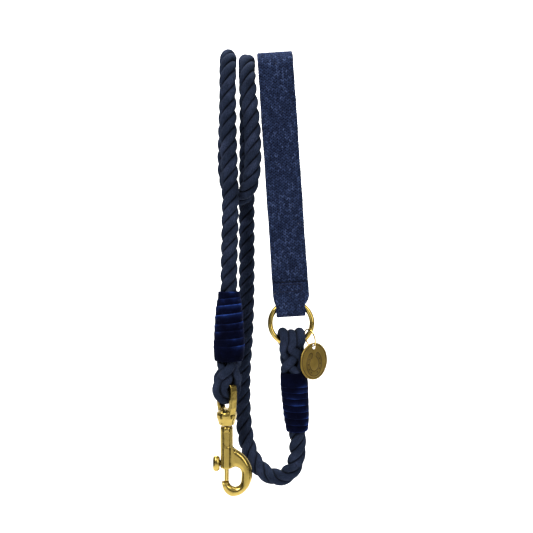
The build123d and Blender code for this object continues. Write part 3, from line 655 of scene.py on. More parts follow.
def velvet_material():
    """Painted sheen: the colour turns blue near a lap's visible edge and where the surface is seen
    slantwise.
    """
    m = Material("velvet")
    facing = m.add("ShaderNodeLayerWeight")
    facing.inputs["Blend"].default_value = 0.30
    crush = m.noise(scale=170.0, detail=4.0, rough=0.6)
    patch = m.noise(scale=60.0, detail=2.0, rough=0.5)
    # painted sheen: blue strongest at a lap's visible edge, broken up by patches and by the
    # surface's slant
    lap = m.ramp(m.attr("lap"), [(0.0, grey(0.75)), (0.14, grey(0.50)), (0.34, grey(0.14)),
                                 (0.60, grey(0))])
    broken = m.ramp(patch, [(0.40, grey(0.10)), (0.62, grey(1))])
    slant_sheen = m.math("MULTIPLY", facing.outputs["Facing"], 0.40)
    painted_sheen = m.math("ADD", slant_sheen, m.math("MULTIPLY", lap, broken))
    painted_sheen = m.math("ADD", painted_sheen, m.centred(crush, amount=0.60), clamp=True)
    base = m.ramp(painted_sheen, [(0.0, srgb(2, 3, 15)), (0.30, srgb(4, 7, 27)), (0.62, srgb(11, 21, 53)),
                         (0.85, srgb(22, 40, 90)), (1.0, srgb(34, 56, 114))])
    # painted shade: darker towards the edge tucked under the next lap and on the ribbon's inner
    # face
    base = m.stain_and_shade(base, m.attr("valley"), amount=0.85, colour=srgb(2, 3, 9))
    folds = m.bump(m.noise(scale=420.0), depth_mm=0.25, strength=0.5)
    pile = m.bump(m.noise(scale=3200.0, detail=2.0, rough=0.6), depth_mm=0.06, strength=0.6,
                  normal=folds)
    return m.finish(Base_Color=base, Roughness=0.85, Sheen_Weight=0.05, Sheen_Roughness=0.35,
                    Sheen_Tint=srgb(60, 88, 165), Normal=pile, Specular_IOR_Level=0.015)


def knit_material():
    m = Material("knit")
    mottle = m.centred(m.noise(scale=1300.0, detail=2.0), amount=0.7)
    tone = m.math("ADD", m.attr("tone"), mottle, clamp=True)
    base = m.ramp(tone, [(0.05, srgb(20, 27, 47)), (0.50, srgb(27, 36, 59)),
                         (0.88, srgb(35, 45, 72)), (1.0, srgb(52, 63, 92))])
    flecks = m.noise(scale=620.0, detail=2.0, rough=0.5, distortion=0.4)
    flecks = m.ramp(flecks, [(0.72, grey(0)), (0.77, grey(0.5))])
    base = m.mix(base, srgb(104, 102, 98), factor=flecks)
    # painted shade: darker between the stitches and on the facing turned under the strap
    base = m.stain_and_shade(base, m.attr("valley"), amount=0.92, colour=srgb(5, 7, 18))
    fibres = m.bump(m.noise(scale=3000.0, detail=4.0, rough=0.7), depth_mm=0.10, strength=0.8)
    return m.finish(Base_Color=base, Roughness=0.95, Sheen_Weight=0.10, Sheen_Roughness=0.5,
                    Sheen_Tint=srgb(110, 125, 165), Normal=fibres, Specular_IOR_Level=0.03)


def webbing_material():
    m = Material("webbing")
    base = m.ramp(m.noise(scale=220.0), [(0.35, srgb(14, 18, 34)), (0.65, srgb(26, 31, 52))])
    # painted shade: darker in the rib grooves and on the face hidden under the knit
    base = m.stain_and_shade(base, m.attr("valley"), amount=0.8, colour=srgb(6, 8, 18))
    weave = m.bump(m.noise(scale=2500.0), depth_mm=0.06, strength=0.6)
    return m.finish(Base_Color=base, Roughness=0.85, Sheen_Weight=0.06, Normal=weave,
                    Specular_IOR_Level=0.04)


def thread_material():
    m = Material("thread")
    tone = m.noise(scale=700.0, detail=2.0)
    base = m.ramp(tone, [(0.35, srgb(12, 16, 34)), (0.65, srgb(22, 28, 52))])
    # painted shade: darker where the thread sinks into its holes
    base = m.stain_and_shade(base, m.attr("valley"), amount=0.7, colour=srgb(8, 10, 22))
    return m.finish(Base_Color=base, Roughness=0.8, Sheen_Weight=0.06, Specular_IOR_Level=0.05)


def brass_material(name, light, dark, rough_low, rough_high, patina, grain_mm, grain_scale,
                   hollow_mm=1.6):
    """Brass, stained by patina in its hollows; the grain is its surface unevenness."""
    m = Material(name)
    cloud = m.noise(scale=140.0, detail=5.0, rough=0.6)
    cloud = m.ramp(cloud, [(0.35, grey(0)), (0.75, grey(1))])
    base = m.mix(light + (1,), dark + (1,), factor=cloud)
    hollow = m.hollows(reach_mm=hollow_mm, clear_at=0.85, samples=6, only_local=True)
    base = m.stain_and_shade(base, hollow, amount=patina, colour=srgb(58, 38, 16))
    base = m.stain_and_shade(base, m.attr("valley"), amount=0.85, colour=srgb(40, 28, 12))
    scratch = m.noise(scale=1500.0, rough=0.6)
    rough = m.math("MULTIPLY", m.noise(scale=330.0, detail=4.0), rough_high - rough_low)
    rough = m.math("ADD", rough, rough_low)
    rough = m.math("ADD", rough, m.math("MULTIPLY", hollow, 0.25), clamp=True)
    grain = m.bump(m.noise(scale=grain_scale, detail=4.0), depth_mm=grain_mm, strength=0.7)
    surface = m.bump(scratch, depth_mm=grain_mm * 0.25, strength=0.5, normal=grain)
    return m.finish(Base_Color=base, Metallic=1.0, Roughness=rough, Normal=surface)


def steel_material():
    m = Material("spring_steel")
    return m.finish(Base_Color=(0.6, 0.6, 0.62, 1), Metallic=1.0, Roughness=0.35,
                    Normal=m.bump(m.noise(scale=900.0), depth_mm=0.02, strength=0.5))


def flat_material(name, brightness):
    return Material(name).finish(Base_Color=grey(brightness), Roughness=0.9,
                                 Specular_IOR_Level=0.1)


MATERIALS = {
    "cotton_rope": rope_material(),
    "velvet": velvet_material(),
    "knit": knit_material(),
    "webbing": webbing_material(),
    "thread": thread_material(),
    "polished_brass": brass_material(
        "polished_brass", light=(0.52, 0.38, 0.105), dark=(0.42, 0.30, 0.075), rough_low=0.10,
        rough_high=0.20, patina=0.6, grain_mm=0.004, grain_scale=300.0),
    "cast_brass": brass_material(
        "cast_brass", light=(0.34, 0.25, 0.066), dark=(0.26, 0.188, 0.045), rough_low=0.13,
        rough_high=0.24, patina=0.95, grain_mm=0.022, grain_scale=200.0, hollow_mm=2.6),
    "antique_brass": brass_material(
        "antique_brass", light=(0.28, 0.19, 0.045), dark=(0.20, 0.135, 0.028), rough_low=0.26,
        rough_high=0.40, patina=0.9, grain_mm=0.02, grain_scale=380.0, hollow_mm=0.6),
    "spring_steel": steel_material(),
}


def dress(ob, material, body=None, node=None):
    """Give a piece its material, the body it rides and the CAD node it replaces."""
    ob.data.materials.clear()
    ob.data.materials.append(MATERIALS[material])
    if body:
        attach(ob, body)
    if node:
        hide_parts(node)


# ---------------------------------------------------------------------------
# Jump ring and tag positions
# ---------------------------------------------------------------------------
JUMP_R = 6.4
JUMP_WIRE = 0.5
HANG_ANGLE = math.radians(56)    # where the jump ring hangs, from the O-ring's lowest point
HANG = RING_C + RING_R * np.array([math.sin(HANG_ANGLE), 0, -math.cos(HANG_ANGLE)])
JUMP_DOWN = unit(np.array([0.42, -0.30, -0.86]))
JUMP_LEAN = np.array([0.84, 0.48, 0.254])
JUMP_NORMAL = unit(JUMP_LEAN - JUMP_DOWN * (JUMP_LEAN @ JUMP_DOWN))
JUMP_C = HANG + 2.5 * JUMP_DOWN

TAG_R = 13.1
TAG_T = 1.2
TAG_TURN = math.radians(41)
TAG_NORMAL = np.array([math.sin(TAG_TURN), -math.cos(TAG_TURN), 0.0])
TAG_RIGHT = np.array([-TAG_NORMAL[1], TAG_NORMAL[0], 0.0])
TAG_HOLE_R = 1.95
TAG_HOLE_UP = TAG_R - 2.8        # hole's centre above the tag's
TAG_C = JUMP_C + JUMP_R * JUMP_DOWN - (0.5 + TAG_HOLE_UP) * UP

# ---------------------------------------------------------------------------
# Rope strands
# ---------------------------------------------------------------------------
STRAND_SIDES = 44
STRAND_STEP = 0.5
# Half widths of a strand's section, outward and sideways
SPLICE_SECTION = (2.50, 3.02)
PLAIN_SECTION = (2.46, 2.90)
YARNS = dict(ridges=11, ridge_depth=0.26, ridge_twist=0.285, rough=0.05)


def dense(controls):
    """Points, outward directions and plain share, evenly spaced on a cubic."""
    points, outward, plain = (np.array(column, float) for column in zip(*controls))
    chord = arc_lengths(points)
    fine = cubic(points)
    fine_chord = np.linspace(0, chord[-1], len(fine))
    arc = arc_lengths(fine)
    even = np.linspace(0, arc[-1], max(3, int(arc[-1] / STRAND_STEP) + 1))
    at_chord = np.interp(even, arc, fine_chord)
    return (interp_columns(even, arc, fine), interp_columns(at_chord, chord, outward),
            np.interp(at_chord, chord, plain))


def steady(points, outward, plain, reach=4.0):
    """Turn the section's first axis smoothly where a strand runs straight in or out and
    its outward direction is lost."""
    tangent = unit_rows(np.gradient(points, axis=0))
    wanted = square_rows(outward, tangent)
    first = np.zeros_like(points)
    first[0] = unit(wanted[0])
    for i in range(1, len(points)):
        first[i] = unit(first[i - 1] - tangent[i] * (first[i - 1] @ tangent[i]))
    second = np.cross(tangent, first)
    angle = np.arctan2(np.sum(wanted * second, axis=1), np.sum(wanted * first, axis=1))
    # doubled angles, so that opposite directions count as one
    doubled = np.linalg.norm(wanted, axis=1) ** 2 * np.exp(2j * angle)
    half = int(3 * reach / STRAND_STEP)
    window = np.exp(-0.5 * (np.arange(-half, half + 1) * STRAND_STEP / reach) ** 2)
    smoothed = np.convolve(np.pad(doubled, half, mode="edge"), window, mode="valid")
    angle = 0.5 * np.unwrap(np.angle(smoothed))
    turned = np.cos(angle)[:, None] * first + np.sin(angle)[:, None] * second
    plain_edge = np.flatnonzero(np.diff((plain > 0.995).astype(int)))[0]
    if turned[plain_edge] @ wanted[plain_edge] < 0:
        turned = -turned
    # plain rope keeps its true outward direction
    share = np.clip((plain - 0.90) / 0.09, 0, 1)[:, None]
    wanted = unit_rows(wanted)
    sign = np.where(np.sum(turned * wanted, axis=1) < 0, -1.0, 1.0)[:, None]
    return np.where(share > 0.999, wanted, turned * (1 - share) + wanted * sign * share)


def rope_tube(j, points, outward, start_length, plain=1.0):
    radii = [splice + (rope - splice) * plain
             for splice, rope in zip(SPLICE_SECTION, PLAIN_SECTION)]
    return tube(points, outward, *radii, STRAND_SIDES, seed=11 + j,
                start_length=start_length, **YARNS)


def plain_tube(j, first, last, start_length):
    """Strand j between two arc lengths of the plain rope."""
    count = max(3, int(abs(last - first) * STRAND_PER_ROPE / STRAND_STEP))
    stations = np.linspace(first, last, count)
    points = np.array([standing(j, s) for s in stations])
    centres = np.array([frame_at(s)[0] for s in stations])
    return rope_tube(j, points, points - centres, start_length)


def leg_tube(j, end, start_length):
    points, outward, plain = dense(leg_controls(j, SPLICES[end]))
    return rope_tube(j, points, steady(points, outward, plain), start_length, plain)[0]


def pressed(verts):
    """Dent a ring-leg strand so it stays clear of the tag all through the leg's swing
    about the ring's lowest point."""
    verts = verts.copy()
    gap = TAG_T / 2 + 0.22
    side = -1.0 if (RING_BOTTOM - TAG_C) @ TAG_NORMAL < 0 else 1.0
    for degree in (0.0, 9.0, 18.0, 27.0, 35.0):
        cos, sin = math.cos(math.radians(degree)), math.sin(math.radians(degree))
        swing = np.array([[1, 0, 0], [0, cos, -sin], [0, sin, cos]])
        from_tag = (verts - RING_BOTTOM) @ swing.T + RING_BOTTOM - TAG_C
        height = from_tag @ TAG_NORMAL
        radius = np.linalg.norm(from_tag - height[:, None] * TAG_NORMAL, axis=1)
        push = (np.clip(gap - height * side, 0, None) * (height * side > -4.0)
                * np.clip((TAG_R + 2.2 - radius) / 1.8, 0, 1))
        verts += (push[:, None] * side * TAG_NORMAL) @ swing
    return verts


def filler_yarn():
    """Thin yarn between the three strands of the ring leg."""
    stations = samples(S_RING_SEAM + 1.0, SPLICES["ring"].plait_to - 4.0, 1.0)
    frames = [frame_at(s) for s in stations]
    (verts, quads, tris, _), _ = tube([f[0] for f in frames], [f[2] for f in frames],
                                      radius_out=1.45, radius_side=1.45, sides=10)
    # painted shade: a valley of one darkens the whole filler yarn
    return verts, quads, tris, np.ones(len(verts))


def build_strand(j):
    """Strand j in four pieces; the yarn pattern runs on from one to the next."""
    number = j + 2
    yarn_start = S_TOP_SEAM * STRAND_PER_ROPE

    ob = valley_mesh(f"rope_snap_leg_{number}", leg_tube(j, "snap", -yarn_start))
    dress(ob, "cotton_rope")
    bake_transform(ob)
    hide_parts(f"snap_leg_strand_{number}")

    part, reached = plain_tube(j, S_TOP_SEAM, S_COIL_SEAM, yarn_start)
    ob = valley_mesh(f"rope_coil_{number}", part)
    dress(ob, "cotton_rope", "rope_coil", f"coil_strand_{number}")

    part, reached = plain_tube(j, S_COIL_SEAM, S_RING_SEAM, reached)
    ob = valley_mesh(f"rope_bottom_bend_{number}", part)
    dress(ob, "cotton_rope")
    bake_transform(ob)

    verts, *rest = leg_tube(j, "ring", reached)
    part = (pressed(verts), *rest)
    if j == 0:
        part = join([part, filler_yarn()])
    ob = valley_mesh(f"rope_ring_leg_{number}", part)
    dress(ob, "cotton_rope", "ring_leg", f"ring_leg_strand_{number}")


for j in (-1, 0, 1):
    build_strand(j)

# ---------------------------------------------------------------------------
# Velvet ribbon, wound as one overlapping helix over each splice
# ---------------------------------------------------------------------------
RIBBON_T = 0.42
RING_WRAP_S = arc_at(-255.9, 2, LENGTH - 70, LENGTH - 20)
RING_WRAP_LOW = frame_at(RING_WRAP_S)[0]
RING_WRAP_SPAN = frame_at(arc_at(-213.6, 2, LENGTH - 30, LENGTH))[0] - RING_WRAP_LOW

# h is height up the wrap's axis from its low end, which lies at arc length low_s.
# radii: (h, radius the ribbon is wound on); edges: h of the laps' visible edges;
# lap: 1 where a later turn covers the one before towards +h, else -1
WRAPS = [
    SimpleNamespace(
        end="snap", origin=np.array([-32.48, -15.0, -206.0]), axis=UP, length=49.1, low_s=2.0,
        width=10.6, lap=1.0, edges=[49.0, 44.4, 39.8, 33.4, 26.6, 21.6, 16.0, 10.6],
        radii=[(0.0, 9.95), (12.0, 10.0), (22.0, 9.55), (34.0, 8.75), (40.0, 7.95),
               (44.5, 7.05), (49.0, 6.45)]),
    SimpleNamespace(
        end="ring", origin=RING_WRAP_LOW, axis=unit(RING_WRAP_SPAN),
        length=float(np.linalg.norm(RING_WRAP_SPAN)), low_s=RING_WRAP_S,
        width=9.8, lap=-1.0, edges=[0.15, 5.2, 10.0, 14.8, 19.6, 24.4, 28.4, 32.4],
        radii=[(0.0, 6.70), (4.0, 7.3), (8.0, 7.9), (14.0, 8.25), (24.0, 8.6), (34.0, 8.85)]),
]


def wound_radius(wrap, h):
    heights, radii = zip(*wrap.radii)
    return np.interp(h, heights, radii)


def about_axis(wrap, h, radius, angle):
    """Points at height h, radius and angle from the front; the three broadcast."""
    front = unit(FRONT - wrap.axis * (FRONT @ wrap.axis))
    side = np.cross(wrap.axis, front)
    ray = np.cos(angle)[..., None] * front + np.sin(angle)[..., None] * side
    return wrap.origin + h[..., None] * wrap.axis + radius[..., None] * ray


def build_ribbon(wrap):
    per_turn = 128
    turns = len(wrap.edges)
    # whole turns pass the front; the ribbon starts and ends near the back
    u = np.linspace(-1.4, turns - 0.45, int((turns + 1) * per_turn) + 1)
    leading = np.interp(u, np.arange(turns), wrap.edges)
    angle = -2 * math.pi * u
    # v runs across the ribbon from its visible edge to the one tucked under
    across = np.linspace(0, 1, 15)
    section = [(v, True) for v in across] + [(v, False) for v in across[::-1][1:-1]]
    points, valley, lap = [], [], []
    for v, outer in section:
        h = np.clip(leading - wrap.lap * v * wrap.width, 0.15, wrap.length - 0.15)
        radius = wound_radius(wrap, h) + RIBBON_T * (1.9 - 1.7 * v)
        if outer:
            edge_drop = 1 - math.sqrt(max(0.0, 1 - (2 * v - 1) ** 8))
            radius = radius + (RIBBON_T - RIBBON_T * 0.5 * edge_drop)
        wrinkle = 0.10 * np.sin(3 * angle + 9 * v) + 0.07 * np.sin(7 * angle + 4 * v + 1.3)
        radius = radius + wrinkle * (0.6 if outer else 0.3)
        points.append(about_axis(wrap, h, radius, angle))
        # valley is painted shade towards the tucked edge and on the inner face; lap drives the
        # painted sheen at the visible edge
        valley.append(max(0.0, (v - 0.55) * 1.2) + (0.0 if outer else 0.6))
        lap.append(v if outer else 1.0)
    grid = np.stack(points, axis=1)
    shape = grid.shape[:2]
    verts = grid.reshape(-1, 3)
    verts = verts + value_noise(verts, 2.4, 3)[:, None] * 0.05
    ob = capped_mesh(f"velvet_wrap_{wrap.end}", verts, shape, [grid[0].mean(0), grid[-1].mean(0)],
                     {"valley": (np.tile(np.clip(valley, 0, 1), shape[0]), 1),
                      "lap": (np.tile(lap, shape[0]), 1)})
    dress(ob, "velvet", f"{wrap.end}_leg", f"velvet_wrap_{wrap.end}_end")


def build_under_wrap(wrap):
    """The inner laps of the ribbon, seen only as its thickness at the ends."""
    heights = np.linspace(0.25, wrap.length - 0.25, 40)
    outer, inner = [], []
    for h in heights:
        radius = wound_radius(wrap, h)
        strands = lay_radius(wrap.low_s + h) + STRAND_R + 0.1
        outer.append((h, radius + 0.12))
        inner.insert(0, (h, min(strands, radius - 0.15)))

    def end_face(start, end, sign):
        """From one profile point to another, rippled by the edges of the layers."""
        return [(start[0] + sign * 0.10 * math.sin(math.pi * 6 * i / 12) ** 2,
                 start[1] + (end[1] - start[1]) * i / 12) for i in range(1, 12)]

    profile = np.array(outer + end_face(outer[-1], inner[0], -1)
                       + inner + end_face(inner[-1], outer[0], 1))
    angle = np.linspace(0, 2 * math.pi, 96, endpoint=False)
    grid = about_axis(wrap, profile[:, :1], profile[:, 1:], angle[None, :])
    verts = grid.reshape(-1, 3)
    verts = verts + value_noise(verts, 1.6, 9)[:, None] * 0.05
    # painted shade: the whole piece is darkened through its valley value
    ob = new_mesh(f"velvet_wrap_{wrap.end}_under", verts,
                  grid_quads(*grid.shape[:2], wrap_rows=True),
                  attrs={"valley": np.full(len(verts), 0.35), "lap": np.ones(len(verts))})
    dress(ob, "velvet", f"{wrap.end}_leg")


for wrap in WRAPS:
    build_ribbon(wrap)
for wrap in WRAPS:
    build_under_wrap(wrap)

# ---------------------------------------------------------------------------
# Handle strap: knit facing, webbing core, stitches
# ---------------------------------------------------------------------------
# The strap is drawn upright as (y, z) and then leaned, its bottom towards +X
STRAP_W = 26.0
STRAP_SHIFT = 1.0        # middle of the strap from the leaned plane's middle
STRAP_T = 2.5
STRAP_LEAN = math.radians(3.78)
STRAP_X = (math.cos(STRAP_LEAN), 0, math.sin(STRAP_LEAN))
STRAP_Z = (-math.sin(STRAP_LEAN), 0, math.cos(STRAP_LEAN))

BEND_R = 15.0            # top bend
BEND_Z = 0.7
FRONT_Y, BACK_Y = -BEND_R, BEND_R
FOLD_Z = -169.3          # centre of the fold round the ring
FOLD_TOP = -166.5
FOLD_R = 5.0             # mid-line of the strap round the fold
FOLD_HALF = 10.6         # half width of the strap in the fold
TAB_Y, UNDER_Y = -17.6, -12.4
SEW_TOP, SEW_BOTTOM = -150.3, -158.6
NARROW_Z = -165.2
FRONT_END = -160.4

EDGE_R = 0.95            # rounding of the facing's edges
LIP = 2.6                # facing turned under the strap
HALF_T = STRAP_T / 2

STITCH = 2.6
BOX_STITCHES = (6, 2)    # across and up the sewn box
BOX_Z = -154.8


def eased_run(start, end, count, key=ease):
    """Points easing in y from start to end, without the start."""
    shares = [i / count for i in range(1, count + 1)]
    return [(start[0] + (end[0] - start[0]) * key(f), start[1] + (end[1] - start[1]) * f)
            for f in shares]


def strap_midline():
    """(y, z) from the front end, over the top bend, down the back, round the ring fold
    and up to the end of the tab."""
    near, far = FRONT_Y - FOLD_R, FRONT_Y + FOLD_R
    line = [(FRONT_Y, FRONT_END + (BEND_Z - FRONT_END) * i / 40) for i in range(41)]
    for degree in range(6, 180, 6):
        angle = math.radians(degree)
        line.append((-BEND_R * math.cos(angle), BEND_Z + BEND_R * math.sin(angle)))
    line.append((BACK_Y, BEND_Z))
    line += eased_run((BACK_Y, BEND_Z), (UNDER_Y, SEW_TOP), 40,
                      key=lambda f: ease(f) * 0.8 + f * f * (2 - f) * 0.2)
    line += [(UNDER_Y, SEW_TOP - down) for down in (2.1, 4.2, 6.3)]
    line.append((UNDER_Y, SEW_BOTTOM))
    line += eased_run((UNDER_Y, SEW_BOTTOM), (far, NARROW_Z), 6)
    line += [(far, FOLD_TOP), (far, FOLD_Z)]
    for degree in range(12, 180, 12):
        angle = math.radians(degree)
        line.append((FRONT_Y + FOLD_R * math.cos(angle), FOLD_Z - FOLD_R * math.sin(angle)))
    line += [(near, FOLD_Z), (near, FOLD_TOP)]
    line += eased_run((near, NARROW_Z), (TAB_Y, SEW_BOTTOM), 6)
    line += [(TAB_Y, SEW_BOTTOM + up) for up in (2.1, 4.2, 6.2)]
    line.append((TAB_Y, SEW_TOP))
    return np.array(line)


STRAP = strap_midline()


def strap_path(step):
    """Mid-line resampled, with normals to the outside of the loop and arc lengths."""
    heading = unit_rows(np.gradient(STRAP, axis=0))
    outside = np.stack([-heading[:, 1], heading[:, 0]], axis=1)
    arc = arc_lengths(STRAP)
    along = np.linspace(0, arc[-1], int(arc[-1] / step) + 1)
    path = interp_columns(along, arc, STRAP)
    out = interp_columns(along, arc, outside)
    # light smoothing keeps the knit free of facets
    for _ in range(6):
        for table in (path, out):
            table[1:-1] = 0.25 * table[:-2] + 0.5 * table[1:-1] + 0.25 * table[2:]
    return path, unit_rows(out), along


def strap_sides(z):
    """Middle and half width of the strap at height z."""
    share = np.clip((z + 167.3) / 6.8, 0, 1)
    share = 1 - (1 - share) ** 1.6
    right = FOLD_HALF + (STRAP_SHIFT + STRAP_W / 2 - FOLD_HALF) * share
    left = -FOLD_HALF + (STRAP_SHIFT - STRAP_W / 2 + FOLD_HALF) * share
    return (right + left) / 2, (right - left) / 2


def strap_point(x, yz):
    """x across and upright (y, z) to leaned points."""
    y, z = yz[..., 0], yz[..., 1]
    return np.stack([x * STRAP_X[0] + z * STRAP_Z[0], y, x * STRAP_X[2] + z * STRAP_Z[2]],
                    axis=-1)


def strap_surface(path, out, x, depth):
    """Grid of points, x across and depth outward from the mid-line."""
    return strap_point(x, path[:, None, :] + out[:, None, :] * depth[..., None])


def knit_stitches(x, y):
    """Stocking stitch at x across, y along: height 0..1 and each loop's own tone."""
    width, height = 2.72, 2.05
    best = np.zeros_like(x)
    tone = np.full_like(x, 0.3)
    for column_step in (-1, 0, 1):
        column = np.floor(x / width) + column_step
        jitter = 0.10 * np.sin(column * 12.9898)
        for row_step in (-1, 0, 1, 2):
            row = np.floor(y / height) + row_step
            centre_y = (row + 0.5) * height + jitter + 0.07 * np.sin(row * 3.1 + column * 1.7)
            for side in (-1, 1):
                centre_x = ((column + 0.5) * width + side * width * 0.235
                            + 0.04 * np.sin(row * 5.3 + column * 2.9))
                dx, dy = x - centre_x, y - centre_y
                cos, sin = math.cos(side * 0.50), math.sin(side * 0.50)
                short = (dx * cos - dy * sin) / (width * 0.245)
                long = (dx * sin + dy * cos) / (height * 0.80)
                dome = np.sqrt(np.clip(1 - short**2 - long**2, 0, 1))
                own = np.sin(column * 127.1 + row * 311.7 + side * 74.7) * 43758.5453
                tone = np.where(dome > best, own - np.floor(own), tone)
                best = np.maximum(best, dome)
    return best, tone


def facing_section(half):
    """Columns round the facing's section, each with a row value per half width: x, depth
    and knit x; then each column's outward direction (x, depth) and knit share."""
    columns = []

    def add(x, depth, knit_x, outward, share=1.0):
        ones = np.ones(len(half))
        columns.append((x * ones, depth * ones, knit_x * ones, outward, share))

    def edge(side, degrees):
        for angle in np.radians(degrees):
            add(side * (half - EDGE_R + EDGE_R * math.sin(angle)), HALF_T * math.cos(angle),
                side * (half - EDGE_R + 1.15 * EDGE_R * angle),
                (side * math.sin(angle), math.cos(angle)))

    def lip(side, shares):
        for v in shares:
            add(side * (half - EDGE_R - v * (LIP - EDGE_R)), -HALF_T + 0.05,
                side * (half + 3.0 + v * (LIP - EDGE_R)), (0, -1))

    for u in np.linspace(-1, 1, 112):
        add(u * (half - EDGE_R), HALF_T, u * (half - EDGE_R), (0, 1))
    edge(1, np.linspace(0, 180, 9)[1:-1])
    lip(1, np.linspace(0, 1, 9))
    for u in np.linspace(1, -1, 12)[1:-1]:
        add(u * (half - LIP - 0.05), -0.05, u, (0, 0), share=0.0)
    lip(-1, np.linspace(1, 0, 9))
    edge(-1, np.linspace(180, 0, 9)[1:-1])
    x, depth, knit_x, outward, share = zip(*columns)
    x, depth, knit_x = (np.stack(values, axis=1) for values in (x, depth, knit_x))
    return x, depth, knit_x, np.array(outward, float), np.array(share)


def build_knit():
    path, out, along = strap_path(0.24)
    middle, half = strap_sides(path[:, 1])
    half = half - 0.12 + 0.10 * np.sin(along * 0.11) + 0.06 * np.sin(along * 0.37 + 1.0)
    x, depth, knit_x, outward, share = facing_section(half)
    shape = x.shape
    y = np.repeat(along[:, None], shape[1], axis=1)
    # columns lean and wander a little, as hand-fed knit does
    wander = 0.35 * np.sin(y * 0.045) + 0.12 * np.sin(y * 0.19 + 0.7)
    height, tone = knit_stitches(knit_x + wander, y + 0.10 * np.sin(knit_x * 0.8))
    drop = 0.80 * (1 - height) * share[None, :]
    x = x - outward[None, :, 0] * drop + middle[:, None]
    depth = depth - outward[None, :, 1] * drop
    verts = strap_surface(path, out, x, depth).reshape(-1, 3)
    verts[:, 1] += value_noise(verts, 0.7, 21) * 0.05 + value_noise(verts, 6.0, 22) * 0.10
    # painted shade: dark between the stitch domes and on the facing turned under the strap
    valley = np.clip((0.84 - height) * 1.75, 0, 1) * share[None, :] + (1 - share[None, :]) * 0.6
    # painted shadow: a dark line across the cut end of the tab
    tab_end_shadow = np.clip((along - (along[-1] - 1.0)) / 0.5, 0, 1)
    valley = np.maximum(valley, tab_end_shadow[:, None])
    ends = [verts[:shape[1]].mean(0), verts[-shape[1]:].mean(0)]
    ob = capped_mesh("handle_knit", verts, shape, ends,
                     {"valley": (valley, 0.8), "tone": (tone, 0.3)})
    dress(ob, "knit", "handle", "handle_knit_cover")


def build_webbing():
    """Core with a herringbone rib on the inside of the loop."""
    columns = 76
    path, out, along = strap_path(0.35)
    middle, half = strap_sides(path[:, 1])
    half = half - LIP - 0.12
    x = np.linspace(-1, 1, columns)[None, :] * half[:, None] + middle[:, None]
    zigzag = np.abs(((x / 4.4) % 2) - 1) * 1.7
    rib = 0.5 + 0.5 * np.cos(2 * math.pi * (along[:, None] / 1.3 + zigzag))
    smooth_face = strap_surface(path, out, x, np.full_like(x, -0.20))
    ribbed_face = strap_surface(path, out, x, -HALF_T + 0.08 + 0.14 * (1 - rib))
    grid = np.concatenate([smooth_face, ribbed_face[:, ::-1]], axis=1)
    # painted shade: the smooth face and the rib grooves are darkened
    valley = np.concatenate([np.full_like(x, 0.8), (1 - rib)[:, ::-1] * 0.9], axis=1)
    ob = capped_mesh("handle_webbing", grid.reshape(-1, 3), grid.shape[:2],
                     [grid[0].mean(0), grid[-1].mean(0)], {"valley": (valley, 0.5)})
    dress(ob, "webbing", "handle", "handle_webbing_core")


def thread_row(start, end, face_y, side, count):
    """Thread between two (x, z), diving into the strap at each of count + 1 holes."""
    sides = 10
    f = np.linspace(0, 1, count * 14 + 1)
    x = start[0] + (end[0] - start[0]) * f
    z = start[1] + (end[1] - start[1]) * f
    rise = np.abs(np.sin(np.pi * f * count)) ** 0.55
    y = face_y + side * (-0.50 + 0.62 * rise)
    points = strap_point(x, np.stack([y, z], axis=1))
    outward = np.repeat([[0, side, 0.01]], len(points), axis=0)
    (verts, quads, tris, _), _ = tube(points, outward, radius_out=0.27, radius_side=0.30,
                                      sides=sides, ridges=4, ridge_depth=0.5, ridge_twist=3.2)
    # painted shade: the valley darkens the thread where it dives into the strap
    return verts, quads, tris, np.append(np.repeat(1 - rise, sides) * 0.8, [1, 1])


def build_stitches():
    """A sewn box on the front of the tab and on the back of the layer under it."""
    across, up = BOX_STITCHES
    left, right = (STRAP_SHIFT + side * across * STITCH / 2 for side in (-1, 1))
    low, high = (BOX_Z + side * up * STITCH / 2 for side in (-1, 1))
    corners = [(left, low), (right, low), (right, high), (left, high)]
    rows = []
    for face_y, side in ((TAB_Y - HALF_T, -1.0), (UNDER_Y + HALF_T, 1.0)):
        for i, count in enumerate((across, up, across, up)):
            rows.append(thread_row(corners[i], corners[(i + 1) % 4], face_y, side, count))
    ob = valley_mesh("handle_stitches", join(rows))
    dress(ob, "thread", "handle", "handle_stitching")


build_knit()
build_webbing()
build_stitches()


# ---------------------------------------------------------------------------
# Brass rings
# ---------------------------------------------------------------------------
def build_ring(name, centre, normal, start, radius, wire, segments, body, node, gap_deg=0.0):
    """Round wire ring; segments are (round the ring, round the wire). A gap is centred on
    the start direction and leaves two slightly chamfered ends."""
    around_ring, around_wire = segments
    normal, start = unit(np.array(normal, float)), unit(np.array(start, float))
    side = np.cross(normal, start)
    thickness = wire * np.ones(around_ring)
    if gap_deg:
        angle = np.radians(np.linspace(gap_deg / 2, 360 - gap_deg / 2, around_ring))
        thickness[[0, -1]] *= 0.86
    else:
        angle = np.linspace(0, 2 * math.pi, around_ring, endpoint=False)
    section = np.linspace(0, 2 * math.pi, around_wire, endpoint=False)[None, :, None]
    ray = np.cos(angle)[:, None] * start + np.sin(angle)[:, None] * side
    thickness = thickness[:, None, None]
    grid = (centre + ray[:, None, :] * (radius + thickness * np.cos(section))
            + normal * (thickness * np.sin(section)))
    verts = grid.reshape(-1, 3)
    if gap_deg:
        ob = capped_mesh(name, verts, segments, [grid[0].mean(0), grid[-1].mean(0)])
    else:
        ob = new_mesh(name, verts, grid_quads(*segments, wrap_rows=True))
    dress(ob, "polished_brass", body, node)


